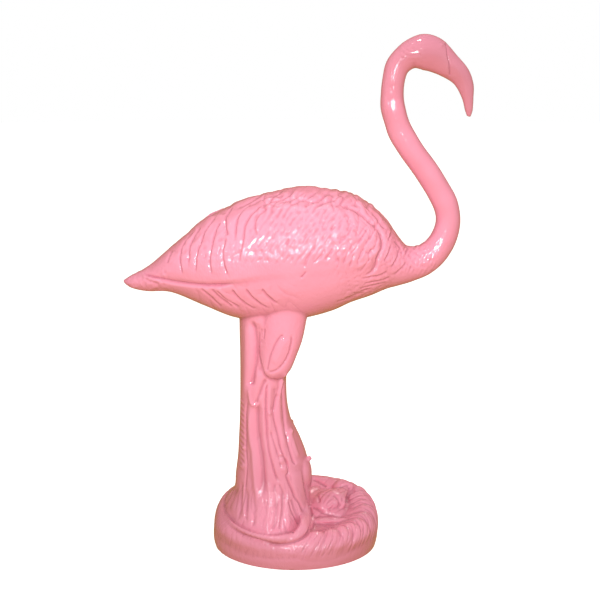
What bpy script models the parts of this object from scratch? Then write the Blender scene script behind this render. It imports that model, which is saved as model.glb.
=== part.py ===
"""A life-size flamingo garden statue, cast in one with its reed pillar and oval mound.

The bird faces +X. The origin is the middle of the flat underside. Everything is in metres.
"""
import math

import bmesh
import bpy
import numpy as np
from mathutils import Matrix, Vector

NODE = "flamingo_statue"

# The bird's form is kept as shares of this height, from the underside to the crown.
HEIGHT = 1.30

# Sections of the bird from tail to bill: along, up, half depth and half width, as shares of HEIGHT.
BODY = (
    (-0.3325, 0.5355, 0.0020, 0.0040),
    (-0.3155, 0.5350, 0.0125, 0.0190),
    (-0.2850, 0.5405, 0.0240, 0.0330),
    (-0.2380, 0.5590, 0.0440, 0.0540),
    (-0.1760, 0.5705, 0.0810, 0.0790),
    (-0.1150, 0.5765, 0.1108, 0.0960),
    (-0.0480, 0.5840, 0.1235, 0.1040),
    (0.0100, 0.5915, 0.1275, 0.1060),
    (0.0670, 0.5960, 0.1175, 0.1010),
    (0.1060, 0.6000, 0.1040, 0.0930),
    (0.1440, 0.5965, 0.0875, 0.0800),
    (0.1720, 0.5900, 0.0690, 0.0650),
    (0.1900, 0.5790, 0.0530, 0.0530),
    (0.2050, 0.5695, 0.0400, 0.0440),
)
NECK = (
    (0.2230, 0.5700, 0.0335, 0.0355),
    (0.2450, 0.5775, 0.0300, 0.0300),
    (0.2660, 0.5940, 0.0270, 0.0265),
    (0.2825, 0.6200, 0.0250, 0.0240),
    (0.2900, 0.6520, 0.0235, 0.0225),
    (0.2835, 0.6850, 0.0235, 0.0225),
    (0.2585, 0.7300, 0.0235, 0.0225),
    (0.2260, 0.7755, 0.0235, 0.0225),
    (0.1975, 0.8190, 0.0232, 0.0220),
    (0.1825, 0.8620, 0.0225, 0.0210),
    (0.1800, 0.8950, 0.0215, 0.0205),
)
HEAD = (
    (0.1825, 0.9220, 0.0208, 0.0205),
    (0.1900, 0.9440, 0.0225, 0.0215),
    (0.2045, 0.9605, 0.0268, 0.0235),
    (0.2210, 0.9660, 0.0298, 0.0260),
    (0.2370, 0.9680, 0.0332, 0.0265),
    (0.2580, 0.9635, 0.0337, 0.0250),
    (0.2810, 0.9455, 0.0254, 0.0200),
    (0.3040, 0.9270, 0.0205, 0.0155),
    (0.3150, 0.9070, 0.0155, 0.0120),
    (0.3208, 0.8850, 0.0110, 0.0095),
    (0.3230, 0.8640, 0.0080, 0.0075),
    (0.3235, 0.8490, 0.0030, 0.0035),
)

# Thigh against the near side of the pillar, mirrored on the far side: along, out, up, half length
# and half width, as shares of HEIGHT.
THIGH = (
    (-0.0170, 0.0320, 0.5080, 0.0445, 0.0400),
    (-0.0230, 0.0370, 0.4700, 0.0440, 0.0340),
    (-0.0275, 0.0415, 0.4310, 0.0405, 0.0290),
    (-0.0335, 0.0435, 0.4000, 0.0355, 0.0260),
    (-0.0380, 0.0445, 0.3730, 0.0290, 0.0230),
    (-0.0405, 0.0450, 0.3540, 0.0215, 0.0185),
    (-0.0415, 0.0450, 0.3440, 0.0115, 0.0100),
)

# Shaft of the pillar: up, along, half length and half width, as shares of HEIGHT.
SHAFT = (
    (0.1460, -0.0458, 0.0742, 0.0780),
    (0.1850, -0.0472, 0.0680, 0.0708),
    (0.2230, -0.0530, 0.0598, 0.0638),
    (0.2615, -0.0608, 0.0500, 0.0577),
    (0.3080, -0.0638, 0.0456, 0.0538),
    (0.3850, -0.0631, 0.0456, 0.0538),
    (0.4600, -0.0600, 0.0493, 0.0569),
    (0.5230, -0.0538, 0.0538, 0.0600),
)

# The oval mound. Its crest is higher on the far side than on the near side.
MOUND_LENGTH = 0.428
MOUND_WIDTH = 0.370
MOUND_HEIGHT = 0.103
MOUND_RISE = 0.045
MOUND_SQUARENESS = 2.35

# Turned profile of the mound: shares of its half size and of its height.
MOUND_PROFILE = (
    (0.00, 0.72),
    (0.52, 0.72),
    (0.64, 0.78),
    (0.74, 0.92),
    (0.82, 1.00),
    (0.90, 0.94),
    (0.97, 0.70),
    (1.00, 0.38),
    (0.99, 0.14),
    (0.96, -0.08),
    (0.92, -0.25),
)

# Foot of the pillar, spread over the mound: up as a share of MOUND_HEIGHT, then along and half
# length as shares of the mound's half length, and half width as a share of its half width.
SKIRT = (
    (0.40, -0.375, 0.500, 0.800),
    (0.75, -0.370, 0.505, 0.850),
    (0.95, -0.362, 0.510, 0.800),
    (1.15, -0.336, 0.502, 0.730),
    (1.45, -0.290, 0.456, 0.625),
)
SKIRT_TURN = math.radians(11)

# Rolled lip along the skirt's edge, in the same shares.
LIP = (0.79, -0.364, 0.522, 0.935)
LIP_THICK = 0.012
LIP_FALL = 0.009

# Lobes of the leaf cluster on the mound: place as shares of the mound's half sizes and height,
# then half sizes in metres and turn about the upright in degrees.
LOBES = (
    ((0.40, 0.16, 0.80), (0.050, 0.050, 0.034), 20),
    ((0.58, 0.55, 1.05), (0.032, 0.036, 0.030), 0),
    ((0.57, 0.02, 0.85), (0.012, 0.012, 0.028), 0),
    ((0.52, -0.13, 0.74), (0.022, 0.014, 0.018), 0),
    ((0.28, 0.44, 0.85), (0.040, 0.040, 0.034), 0),
)

# Knot on the pillar and the broken twig that stands out of it, as shares of HEIGHT.
KNOT = ((0.0100, -0.0180, 0.1600), (0.0180, 0.0230, 0.0240))
TWIG_START = (0.0120, -0.0150, 0.1700)
TWIG_END = (0.0330, -0.0170, 0.1790)
TWIG_RADIUS = 0.007

# Carved lines on the bird's side, as places along and up in shares of HEIGHT.
WING_EDGE = (
    (-0.130, 0.672),
    (-0.080, 0.690),
    (0.000, 0.699),
    (0.080, 0.690),
    (0.122, 0.675),
    (0.150, 0.648),
    (0.162, 0.618),
    (0.152, 0.594),
    (0.135, 0.578),
    (0.095, 0.571),
    (0.020, 0.564),
    (-0.062, 0.558),
    (-0.118, 0.549),
    (-0.175, 0.542),
    (-0.235, 0.545),
    (-0.280, 0.553),
)
WING_RISE = 0.006
WING_GROOVE = 0.006
WING_FRONT_GROOVE = 0.008
# Shares along WING_EDGE between which its lower edge is softer, and how much of it is left there.
WING_SOFT = (0.46, 0.64, 0.70, 0.80)
WING_SOFTNESS = 0.25
WING_FRONT = 0.42
WING_EDGE_REACH = 0.05
REAR_FEATHERS = (
    ((-0.2300, 0.6080), (-0.2410, 0.5900), (-0.2480, 0.5720)),
    ((-0.1880, 0.6380), (-0.2085, 0.6080), (-0.2140, 0.5600)),
    ((-0.1720, 0.6420), (-0.1940, 0.6130), (-0.2010, 0.5620)),
    ((-0.1390, 0.6620), (-0.1700, 0.6260), (-0.1840, 0.5620)),
    ((-0.1320, 0.6600), (-0.1520, 0.6180), (-0.1520, 0.5590)),
    ((-0.1260, 0.6660), (-0.1260, 0.6300), (-0.1260, 0.5670)),
    ((-0.0760, 0.6800), (-0.0980, 0.6500), (-0.1020, 0.6000)),
)
FLANK_FEATHERS = (
    ((-0.1730, 0.5400), (-0.1540, 0.5180), (-0.1300, 0.4950)),
    ((-0.1600, 0.5420), (-0.1400, 0.5190), (-0.1120, 0.4980)),
    ((-0.1180, 0.5370), (-0.1050, 0.5210), (-0.0820, 0.5030)),
    ((-0.0840, 0.5440), (-0.0700, 0.5250), (-0.0450, 0.5050)),
)
FEATHER_GROOVE = 0.0040
BILL_LINE = ((0.2790, 0.9900), (0.2770, 0.9600), (0.2810, 0.9150))
BILL_GROOVE = 0.0025
EYE = (0.2225, 0.9605)
EYE_SIZE = 0.0055
LEAF_CENTRE = (-0.0290, 0.4105)
LEAF_HALF = (0.0125, 0.0440)
LEAF_TILT = math.radians(26)
LEAF_GROOVE = 0.0030

# Flutes of the pillar: angle from the front at the top and at the foot, width and depth.
FLUTES = (
    (3, 26, 0.0050, 0.0050),
    (26, 56, 0.0045, 0.0060),
    (55, 84, 0.0045, 0.0050),
    (80, 98, 0.0045, 0.0045),
    (96, 112, 0.0110, 0.0050),
    (133, 138, 0.0050, 0.0045),
    (150, 153, 0.0090, 0.0035),
    (172, 168, 0.0060, 0.0030),
)
FLUTE_TURN = (0.12, 0.32)
FOLDS = 17
FOLD_DEPTH = 0.0025
# Heights between which the folds lie, in shares of MOUND_HEIGHT: they rise, hold and fade again.
FOLD_RANGE = (0.85, 1.15, 1.50, 2.10)
GRASS_STROKES = 44
GRASS_DEPTH = 0.0022

# Limits of the carved regions, as shares of HEIGHT: the belly's lowest point, the thigh's foot and
# the reach of the pillar to both sides of its line. The thigh's reach is in metres.
BELLY = 0.465
THIGH_FOOT = 0.34
PILLAR_REACH = 0.125
THIGH_REACH = 0.06

VOXEL = 0.0055
TRIANGLES = 9600

PINK = (0.86, 0.27, 0.36)


def smoothstep(low, high, value):
    """0 below low, 1 above high and an S-shaped rise between."""
    share = np.clip((value - low) / (high - low), 0.0, 1.0)
    return share * share * (3.0 - 2.0 * share)


def spline(rows, share):
    """The smooth curve through the rows, read at shares from 0 to 1 of its length in rows."""
    rows = np.asarray(rows, float)
    last = len(rows) - 1
    ends = np.vstack([2 * rows[0] - rows[1], rows, 2 * rows[-1] - rows[-2]])
    place = np.clip(np.asarray(share, float) * last, 0.0, last - 1e-9)
    start = place.astype(int)
    part = (place - start)[:, None]
    before, here, after, beyond = (ends[start + step] for step in range(4))
    return 0.5 * (
        2 * here
        + (after - before) * part
        + (2 * before - 5 * here + 4 * after - beyond) * part**2
        + (3 * here - before - 3 * after + beyond) * part**3
    )


def read_points(mesh):
    """The vertices of a mesh as an array of rows."""
    flat = np.empty(len(mesh.vertices) * 3)
    mesh.vertices.foreach_get("co", flat)
    return flat.reshape(-1, 3)


def write_points(mesh, points):
    """Move the vertices of a mesh to the rows of an array."""
    mesh.vertices.foreach_set("co", np.asarray(points, float).ravel())
    mesh.update()


def to_mesh(name, build):
    """A mesh filled by a function that works on a BMesh."""
    form = bmesh.new()
    build(form)
    mesh = bpy.data.meshes.new(name)
    form.to_mesh(mesh)
    form.free()
    return mesh


def evaluated_mesh(source):
    """The mesh of an object with its modifiers, after which the object is removed."""
    bpy.context.collection.objects.link(source)
    graph = bpy.context.evaluated_depsgraph_get()
    mesh = bpy.data.meshes.new_from_object(source.evaluated_get(graph))
    bpy.data.objects.remove(source)
    return mesh


def drawn_ball(name, sides, rings, section):
    """A ball drawn out along a line: section turns shares of the way and angles into places."""
    mesh = to_mesh(name, lambda form: bmesh.ops.create_uvsphere(
        form, u_segments=sides, v_segments=rings, radius=1.0))
    ball = read_points(mesh)
    share = 1.0 - np.arccos(np.clip(ball[:, 2], -1.0, 1.0)) / math.pi
    write_points(mesh, section(share, np.arctan2(ball[:, 1], ball[:, 0])))
    return mesh


def bird_section(share, angle):
    """Places on the bird: its sections stand across a line that lies in the upright plane."""
    rows = np.asarray(BODY + NECK + HEAD) * HEIGHT
    here = spline(rows, share)
    step = 0.004
    way = spline(rows, np.minimum(share + step, 1.0)) - spline(rows, np.maximum(share - step, 0.0))
    lean = smoothstep(len(BODY) - 2, len(BODY) + 2, share * (len(rows) - 1))[:, None]
    way = way[:, :2] / np.linalg.norm(way[:, :2], axis=1)[:, None]
    way = lean * way + (1.0 - lean) * np.array([1.0, 0.0])
    way /= np.linalg.norm(way, axis=1)[:, None]
    up = here[:, 2] * np.cos(angle)
    return np.stack([
        here[:, 0] - way[:, 1] * up,
        here[:, 3] * np.sin(angle),
        here[:, 1] + way[:, 0] * up,
    ], axis=1)


def skirt_oval(along, half_length, half_width, angle):
    """Places on a level oval round the pillar's foot, given in shares of the mound's half sizes."""
    step_along = half_length * MOUND_LENGTH / 2 * np.cos(angle)
    step_out = half_width * MOUND_WIDTH / 2 * np.sin(angle)
    x = along * MOUND_LENGTH / 2 + step_along * math.cos(SKIRT_TURN) - step_out * math.sin(SKIRT_TURN)
    y = step_along * math.sin(SKIRT_TURN) + step_out * math.cos(SKIRT_TURN)
    return x, y


def pillar_rows():
    """Rows of the whole pillar in metres: up, along, half length and half width."""
    half = (MOUND_LENGTH / 2, MOUND_WIDTH / 2)
    skirt = [(up * MOUND_HEIGHT, along * half[0], length * half[0], width * half[1])
             for up, along, length, width in SKIRT]
    return np.array(skirt + [tuple(HEIGHT * share for share in row) for row in SHAFT])


def pillar_section(share, angle):
    """Places on the pillar: level ovals, turned a little where they spread into the skirt."""
    here = spline(pillar_rows(), share)
    turn = SKIRT_TURN * (1.0 - smoothstep(1.2 * MOUND_HEIGHT, 2.6 * MOUND_HEIGHT, here[:, 0]))
    along = here[:, 2] * np.cos(angle)
    out = here[:, 3] * np.sin(angle)
    return np.stack([
        here[:, 1] + along * np.cos(turn) - out * np.sin(turn),
        along * np.sin(turn) + out * np.cos(turn),
        here[:, 0],
    ], axis=1)


def thigh_section(side):
    """Places on the thigh of one side: level ovals that shrink downwards."""
    def section(share, angle):
        here = spline(THIGH, share) * HEIGHT
        return np.stack([
            here[:, 0] + here[:, 3] * np.cos(angle),
            side * here[:, 1] + here[:, 4] * np.sin(angle),
            here[:, 2],
        ], axis=1)
    return section


def mound_lift(y):
    """How much higher the mound's crest is at a place across it."""
    return MOUND_RISE * y / MOUND_WIDTH


def mound_mesh():
    """The oval mound, turned from its profile, made oval and raised towards the far side."""
    outline = spline(MOUND_PROFILE, np.linspace(0.0, 1.0, 60))
    profile = [(max(reach, 0.0), 0.0, up * MOUND_HEIGHT) for reach, up in outline]
    profile.append((0.0, 0.0, profile[-1][2]))
    mesh = bpy.data.meshes.new("mound_profile")
    mesh.from_pydata(profile, [(i, i + 1) for i in range(len(profile) - 1)], [])
    source = bpy.data.objects.new("mound_profile", mesh)
    screw = source.modifiers.new("turn", "SCREW")
    screw.steps = screw.render_steps = 96
    screw.use_merge_vertices = True
    screw.merge_threshold = 0.0001
    turned = evaluated_mesh(source)
    points = read_points(turned)
    crest = smoothstep(0.3, 0.9, points[:, 2] / MOUND_HEIGHT)
    power = 2 / (2 + (MOUND_SQUARENESS - 2) * crest)
    reach = np.hypot(points[:, 0], points[:, 1])
    angle = np.arctan2(points[:, 1], points[:, 0])
    for column, way, size in ((0, np.cos(angle), MOUND_LENGTH), (1, np.sin(angle), MOUND_WIDTH)):
        points[:, column] = reach * np.sign(way) * np.abs(way) ** power * size / 2
    points[:, 2] += mound_lift(points[:, 1]) * smoothstep(0.2, 0.9, points[:, 2] / MOUND_HEIGHT)
    write_points(turned, points)
    return turned


def lip_mesh():
    """The rolled lip: a round bead along the skirt's edge, lower at its front end than at its back."""
    count = 72
    angle = np.arange(count) * 2 * math.pi / count
    up, along, half_length, half_width = LIP
    x, y = skirt_oval(along, half_length, half_width, angle)
    z = up * MOUND_HEIGHT - LIP_FALL * np.cos(angle)
    curve = bpy.data.curves.new("lip", "CURVE")
    curve.dimensions = "3D"
    curve.bevel_depth = LIP_THICK
    curve.bevel_resolution = 2
    line = curve.splines.new("POLY")
    line.points.add(count - 1)
    line.use_cyclic_u = True
    for point, place in zip(line.points, zip(x, y, z)):
        point.co = (*place, 1.0)
    return evaluated_mesh(bpy.data.objects.new("lip", curve))


def ball_mesh(centre, half, turn=0.0):
    """A ball stretched to three half sizes and turned about the upright."""
    turned = Matrix.Rotation(math.radians(turn), 4, "Z") @ Matrix.Diagonal((*half, 1.0))
    return to_mesh("ball", lambda form: bmesh.ops.create_icosphere(
        form, subdivisions=3, radius=1.0, matrix=Matrix.Translation(centre) @ turned))


def lobe_meshes():
    """The lobes of the leaf cluster."""
    size = (MOUND_LENGTH / 2, MOUND_WIDTH / 2, MOUND_HEIGHT)
    return [ball_mesh([share * whole for share, whole in zip(place, size)], half, turn)
            for place, half, turn in LOBES]


def knot_meshes():
    """The knot on the pillar and its broken twig."""
    knot = ball_mesh(*[[share * HEIGHT for share in row] for row in KNOT])
    start, end = (Vector(row) * HEIGHT for row in (TWIG_START, TWIG_END))
    way = end - start
    place = Matrix.Translation((start + end) / 2) @ way.to_track_quat("Z", "Y").to_matrix().to_4x4()
    twig = to_mesh("twig", lambda form: bmesh.ops.create_cone(
        form, cap_ends=True, segments=12, radius1=TWIG_RADIUS * 1.3, radius2=TWIG_RADIUS,
        depth=way.length, matrix=place))
    return [knot, twig]


def fused(meshes):
    """All forms fused into one closed skin by a voxel remesh."""
    form = bmesh.new()
    for mesh in meshes:
        form.from_mesh(mesh)
    joined = bpy.data.meshes.new(NODE)
    form.to_mesh(joined)
    form.free()
    source = bpy.data.objects.new(NODE, joined)
    remesh = source.modifiers.new("fuse", "REMESH")
    remesh.mode = "VOXEL"
    remesh.voxel_size = VOXEL
    soften = source.modifiers.new("soften", "SMOOTH")
    soften.factor = 0.5
    soften.iterations = 3
    return evaluated_mesh(source)


def line_marks(places, rows):
    """Signed distance to the smooth line through the rows and the share of the way along it.

    The distance is positive on the left of the line.
    """
    count = 8 * (len(rows) - 1)
    line = spline(rows, np.linspace(0.0, 1.0, count + 1))
    best = np.full(len(places), 1e9)
    side = np.zeros(len(places))
    share = np.zeros(len(places))
    for index in range(count):
        start, way = line[index], line[index + 1] - line[index]
        off = places - start
        part = np.clip(off @ way / (way @ way), 0.0, 1.0)
        gap = np.linalg.norm(off - part[:, None] * way, axis=1)
        near = gap < best
        best[near] = gap[near]
        side[near] = np.sign(way[0] * off[near, 1] - way[1] * off[near, 0])
        share[near] = (index + part[near]) / count
    return best * side, share


def dip(distance, width):
    """A round-bottomed groove, 1 deep at distance 0."""
    return np.exp(-(distance / width) ** 2)


def feather_lines(side, lines, width):
    """Overlapping feathers: a groove along each line, and a step that stands proud behind it."""
    relief = np.zeros(len(side))
    for line in lines:
        distance, share = line_marks(side, np.array(line) * HEIGHT)
        ends = smoothstep(0.0, 0.15, share) * (1.0 - smoothstep(0.85, 1.0, share))
        relief -= FEATHER_GROOVE * ends * dip(distance, width)
        relief += 0.5 * FEATHER_GROOVE * ends * dip(distance - 2 * width, 1.5 * width)
    return relief


def bird_relief(side, up):
    """Carving on the bird's sides: the wing's pad, its feathers, the flank, the bill and the eye."""
    distance, share = line_marks(side, np.array(WING_EDGE) * HEIGHT)
    inside = -distance
    back = smoothstep(WING_EDGE[-1][0] * HEIGHT, WING_EDGE[0][0] * HEIGHT, side[:, 0])
    soft = smoothstep(*WING_SOFT[:2], share) * (1.0 - smoothstep(*WING_SOFT[2:], share))
    firm = 1.0 - (1.0 - WING_SOFTNESS) * soft * dip(distance, WING_EDGE_REACH)
    groove = firm * smoothstep(0.15, 0.30, share) * (1.0 - smoothstep(0.90, 1.0, share))
    front = dip(share - WING_FRONT, 0.12)
    relief = WING_RISE * smoothstep(-0.002, 0.016, inside) * back * firm
    relief -= groove * (WING_GROOVE + WING_FRONT_GROOVE * front) * dip(inside + 0.003, 0.006)
    relief += feather_lines(side, REAR_FEATHERS + FLANK_FEATHERS, 0.0045)
    distance, share = line_marks(side, np.array(BILL_LINE) * HEIGHT)
    relief -= BILL_GROOVE * dip(distance, 0.003)
    eye = np.linalg.norm(side - np.array(EYE) * HEIGHT, axis=1)
    relief += 0.4 * EYE_SIZE * dip(eye, EYE_SIZE)
    return relief


def leaf_relief(side):
    """The oval leaf outline on the thigh."""
    x, z = (side - np.array(LEAF_CENTRE) * HEIGHT).T
    across = (x * math.cos(LEAF_TILT) - z * math.sin(LEAF_TILT)) / (LEAF_HALF[0] * HEIGHT)
    along = (x * math.sin(LEAF_TILT) + z * math.cos(LEAF_TILT)) / (LEAF_HALF[1] * HEIGHT)
    ring = (np.hypot(across, along) - 1.0) * LEAF_HALF[0] * HEIGHT
    return -LEAF_GROOVE * dip(ring, 0.004)


def pillar_relief(points):
    """Flutes down the pillar and soft folds where it spreads."""
    rows = pillar_rows()
    up = points[:, 2]
    along, length, width = (np.interp(up, rows[:, 0], rows[:, column]) for column in (1, 2, 3))
    across, ahead = np.abs(points[:, 1]) / width, (points[:, 0] - along) / length
    angle = np.degrees(np.arctan2(across, ahead))
    bare = 1.0 - smoothstep(1.04, 1.12, np.hypot(across, ahead))
    reach = (length + width) / 2
    turn = smoothstep(FLUTE_TURN[0] * HEIGHT, FLUTE_TURN[1] * HEIGHT, up)
    foot = smoothstep(0.9 * MOUND_HEIGHT, 1.6 * MOUND_HEIGHT, up)
    relief = np.zeros(len(points))
    for top, bottom, wide, deep in FLUTES:
        away = np.radians(angle - (bottom + (top - bottom) * turn)) * reach
        relief -= deep * foot * dip(away, wide * (1.0 + 0.6 * (1.0 - turn)))
    folds = np.cos(np.radians(angle) * FOLDS)
    low, full, fading, gone = (share * MOUND_HEIGHT for share in FOLD_RANGE)
    spread = smoothstep(low, full, up) * (1.0 - smoothstep(fading, gone, up))
    return bare * (relief + FOLD_DEPTH * folds * spread)


def mound_relief(points):
    """Grass strokes over the mound's rim."""
    x = points[:, 0] / (MOUND_LENGTH / 2)
    y = points[:, 1] / (MOUND_WIDTH / 2)
    out = np.hypot(x, y)
    rim = smoothstep(0.68, 0.78, out) * smoothstep(0.25, 0.45, points[:, 2] / MOUND_HEIGHT)
    grown = smoothstep(-0.25, 0.35, x + 0.6 * y)
    return GRASS_DEPTH * rim * grown * np.cos(np.arctan2(y, x) * GRASS_STROKES)


def carve(mesh):
    """Move the skin along its normals by the relief of the region that each vertex lies in."""
    points = read_points(mesh)
    normals = np.empty(len(points) * 3)
    mesh.vertices.foreach_get("normal", normals)
    normals = normals.reshape(-1, 3)
    side = points[:, [0, 2]]
    up = points[:, 2]
    facing = smoothstep(0.05, 0.5, np.abs(normals[:, 1]))
    out = np.hypot(points[:, 0] / (MOUND_LENGTH / 2), points[:, 1] / (MOUND_WIDTH / 2))
    on_bird = smoothstep(BELLY * HEIGHT, (BELLY + 0.015) * HEIGHT, up)
    centre = SHAFT[-1][1] * HEIGHT
    near_pillar = np.abs(points[:, 0] - centre) < PILLAR_REACH * HEIGHT
    beside = dip(side[:, 0] - THIGH[2][0] * HEIGHT, THIGH_REACH)
    on_thigh = beside * smoothstep(THIGH_FOOT * HEIGHT, (THIGH_FOOT + 0.02) * HEIGHT, up)
    on_pillar = (1.0 - on_bird) * near_pillar
    on_mound = (up < 1.3 * MOUND_HEIGHT) & (out > 0.6)
    relief = on_bird * facing * bird_relief(side, up)
    relief += on_pillar * pillar_relief(points)
    relief += on_thigh * facing * (1.0 - on_bird) * leaf_relief(side)
    relief += on_mound * mound_relief(points)
    write_points(mesh, points + normals * relief[:, None])


def reduced(mesh):
    """The carved skin with as many triangles as asked for, cut flat at the underside."""
    source = bpy.data.objects.new(NODE, mesh)
    fewer = source.modifiers.new("fewer", "DECIMATE")
    fewer.ratio = TRIANGLES / (2 * len(mesh.polygons))
    fewer.use_collapse_triangulate = True
    small = evaluated_mesh(source)
    form = bmesh.new()
    form.from_mesh(small)
    bmesh.ops.bisect_plane(form, geom=form.verts[:] + form.edges[:] + form.faces[:], dist=0.00001,
                           plane_co=(0, 0, 0), plane_no=(0, 0, 1), clear_inner=True)
    rim = [edge for edge in form.edges if edge.is_boundary]
    bmesh.ops.contextual_create(form, geom=rim)
    bmesh.ops.triangulate(form, faces=form.faces[:])
    bmesh.ops.recalc_face_normals(form, faces=form.faces[:])
    form.to_mesh(small)
    form.free()
    return small


def gloss(name, colour):
    """A smooth glossy coat."""
    material = bpy.data.materials.new(name)
    material.use_nodes = True
    shader = material.node_tree.nodes["Principled BSDF"]
    shader.inputs["Base Color"].default_value = (*colour, 1.0)
    shader.inputs["Roughness"].default_value = 0.22
    shader.inputs["Metallic"].default_value = 0.0
    return material


def main():
    """Build the statue."""
    for old in list(bpy.data.objects):
        bpy.data.objects.remove(old)
    meshes = [
        drawn_ball("bird", 40, 150, bird_section),
        drawn_ball("pillar", 72, 80, pillar_section),
        drawn_ball("thigh_near", 32, 32, thigh_section(-1)),
        drawn_ball("thigh_far", 32, 32, thigh_section(1)),
        mound_mesh(),
        lip_mesh(),
    ]
    skin = fused(meshes + lobe_meshes() + knot_meshes())
    carve(skin)
    skin = reduced(skin)
    skin.materials.append(gloss("pink_gloss", PINK))
    skin.shade_smooth()
    collection = bpy.data.collections.new(NODE)
    bpy.context.scene.collection.children.link(collection)
    collection.objects.link(bpy.data.objects.new(NODE, skin))


main()
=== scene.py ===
"""A life-size flamingo garden statue in glossy pink, on a pale floor in soft studio light.

The statue is one cast piece: bird, reed pillar and oval mound. Its skin is made from drawn-out balls,
fused by a voxel remesh and then carved. Everything is in metres, in the frame's own place.
"""
import math

import bpy
import numpy as np
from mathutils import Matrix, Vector


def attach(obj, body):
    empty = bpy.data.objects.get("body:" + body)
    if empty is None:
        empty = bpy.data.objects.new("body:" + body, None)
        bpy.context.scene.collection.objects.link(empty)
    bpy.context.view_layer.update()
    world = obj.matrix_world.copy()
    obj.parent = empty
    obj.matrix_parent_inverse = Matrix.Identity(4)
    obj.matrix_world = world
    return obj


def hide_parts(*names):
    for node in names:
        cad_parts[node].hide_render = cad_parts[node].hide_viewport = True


bl_info = {
    "name": "Flamingo garden statue",
    "version": (1, 0, 0),
    "blender": (4, 5, 0),
    "location": "3D View > Sidebar > Flamingo",
    "description": "Models a glossy flamingo garden statue and its studio",
    "category": "Object",
}

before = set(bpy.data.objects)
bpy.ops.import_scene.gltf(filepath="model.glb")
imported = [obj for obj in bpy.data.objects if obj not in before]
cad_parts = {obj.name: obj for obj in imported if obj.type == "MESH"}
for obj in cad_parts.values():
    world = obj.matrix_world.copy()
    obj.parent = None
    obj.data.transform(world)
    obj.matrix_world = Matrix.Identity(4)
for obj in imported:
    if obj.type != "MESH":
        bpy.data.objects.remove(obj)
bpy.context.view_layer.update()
NODE = "flamingo_statue"

# Sections of the bird from tail to bill: along, up, half depth and half width, as shares of its height.
BODY = (
    (-0.3325, 0.5355, 0.0020, 0.0040),
    (-0.3155, 0.5350, 0.0125, 0.0190),
    (-0.2850, 0.5405, 0.0240, 0.0330),
    (-0.2380, 0.5590, 0.0440, 0.0540),
    (-0.1760, 0.5705, 0.0810, 0.0790),
    (-0.1150, 0.5765, 0.1108, 0.0960),
    (-0.0480, 0.5840, 0.1235, 0.1040),
    (0.0100, 0.5915, 0.1275, 0.1060),
    (0.0670, 0.5960, 0.1175, 0.1010),
    (0.1060, 0.6000, 0.1040, 0.0930),
    (0.1440, 0.5965, 0.0875, 0.0800),
    (0.1720, 0.5900, 0.0690, 0.0650),
    (0.1900, 0.5790, 0.0530, 0.0530),
    (0.2050, 0.5695, 0.0400, 0.0440),
)
NECK = (
    (0.2230, 0.5700, 0.0335, 0.0355),
    (0.2450, 0.5775, 0.0300, 0.0300),
    (0.2660, 0.5940, 0.0270, 0.0265),
    (0.2825, 0.6200, 0.0250, 0.0240),
    (0.2900, 0.6520, 0.0235, 0.0225),
    (0.2835, 0.6850, 0.0235, 0.0225),
    (0.2585, 0.7300, 0.0235, 0.0225),
    (0.2260, 0.7755, 0.0235, 0.0225),
    (0.1975, 0.8190, 0.0232, 0.0220),
    (0.1825, 0.8620, 0.0225, 0.0210),
    (0.1800, 0.8950, 0.0215, 0.0205),
)
HEAD = (
    (0.1825, 0.9220, 0.0208, 0.0205),
    (0.1900, 0.9440, 0.0225, 0.0215),
    (0.2057, 0.9589, 0.0248, 0.0232),
    (0.2210, 0.9660, 0.0298, 0.0260),
    (0.2385, 0.9680, 0.0332, 0.0265),
    (0.2568, 0.9620, 0.0317, 0.0250),
    (0.2810, 0.9450, 0.0248, 0.0200),
    (0.3035, 0.9260, 0.0196, 0.0155),
    (0.3150, 0.9070, 0.0155, 0.0120),
    (0.3208, 0.8850, 0.0110, 0.0095),
    (0.3230, 0.8640, 0.0080, 0.0075),
    (0.3235, 0.8490, 0.0030, 0.0035),
)

# Thigh on each side of the pillar: along, out, up, half length and half width, as shares of the height.
THIGH = (
    (-0.0170, 0.0320, 0.5080, 0.0445, 0.0400),
    (-0.0230, 0.0370, 0.4700, 0.0440, 0.0340),
    (-0.0275, 0.0415, 0.4310, 0.0405, 0.0290),
    (-0.0335, 0.0435, 0.4000, 0.0355, 0.0260),
    (-0.0380, 0.0445, 0.3730, 0.0290, 0.0230),
    (-0.0405, 0.0420, 0.3600, 0.0205, 0.0175),
    (-0.0415, 0.0390, 0.3520, 0.0105, 0.0090),
)

# Shaft of the pillar: up, along, half length and half width, as shares of the height.
SHAFT = (
    (0.1460, -0.0458, 0.0742, 0.0780),
    (0.1850, -0.0472, 0.0680, 0.0708),
    (0.2230, -0.0530, 0.0598, 0.0638),
    (0.2615, -0.0608, 0.0500, 0.0577),
    (0.3080, -0.0638, 0.0456, 0.0538),
    (0.3850, -0.0631, 0.0456, 0.0538),
    (0.4600, -0.0600, 0.0493, 0.0569),
    (0.5230, -0.0538, 0.0538, 0.0600),
)

# Turned profile of the mound: shares of its half size and of its height.
MOUND_PROFILE = (
    (0.00, 0.72),
    (0.26, 0.72),
    (0.52, 0.75),
    (0.64, 0.84),
    (0.74, 0.94),
    (0.82, 1.00),
    (0.93, 0.93),
    (0.988, 0.71),
    (1.000, 0.42),
    (0.998, 0.16),
    (0.97, -0.06),
    (0.92, -0.25),
    (0.46, -0.25),
    (0.00, -0.25),
)
# How much the mound's top rises to the far side, as a share of its width, the power of its oval at the crest,
# where 2 is a true ellipse, and how far its foot lies back, in metres.
MOUND_RISE = 0.12
MOUND_SQUARENESS = 2.35
MOUND_LEAN = 0.002
# Between which heights, in shares of the mound's own, the square crest, the rise and the lean set in.
MOUND_CREST_UP = (0.3, 0.9)
MOUND_RISE_UP = (0.2, 0.9)
MOUND_LEAN_UP = (0.0, 0.7)

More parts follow.
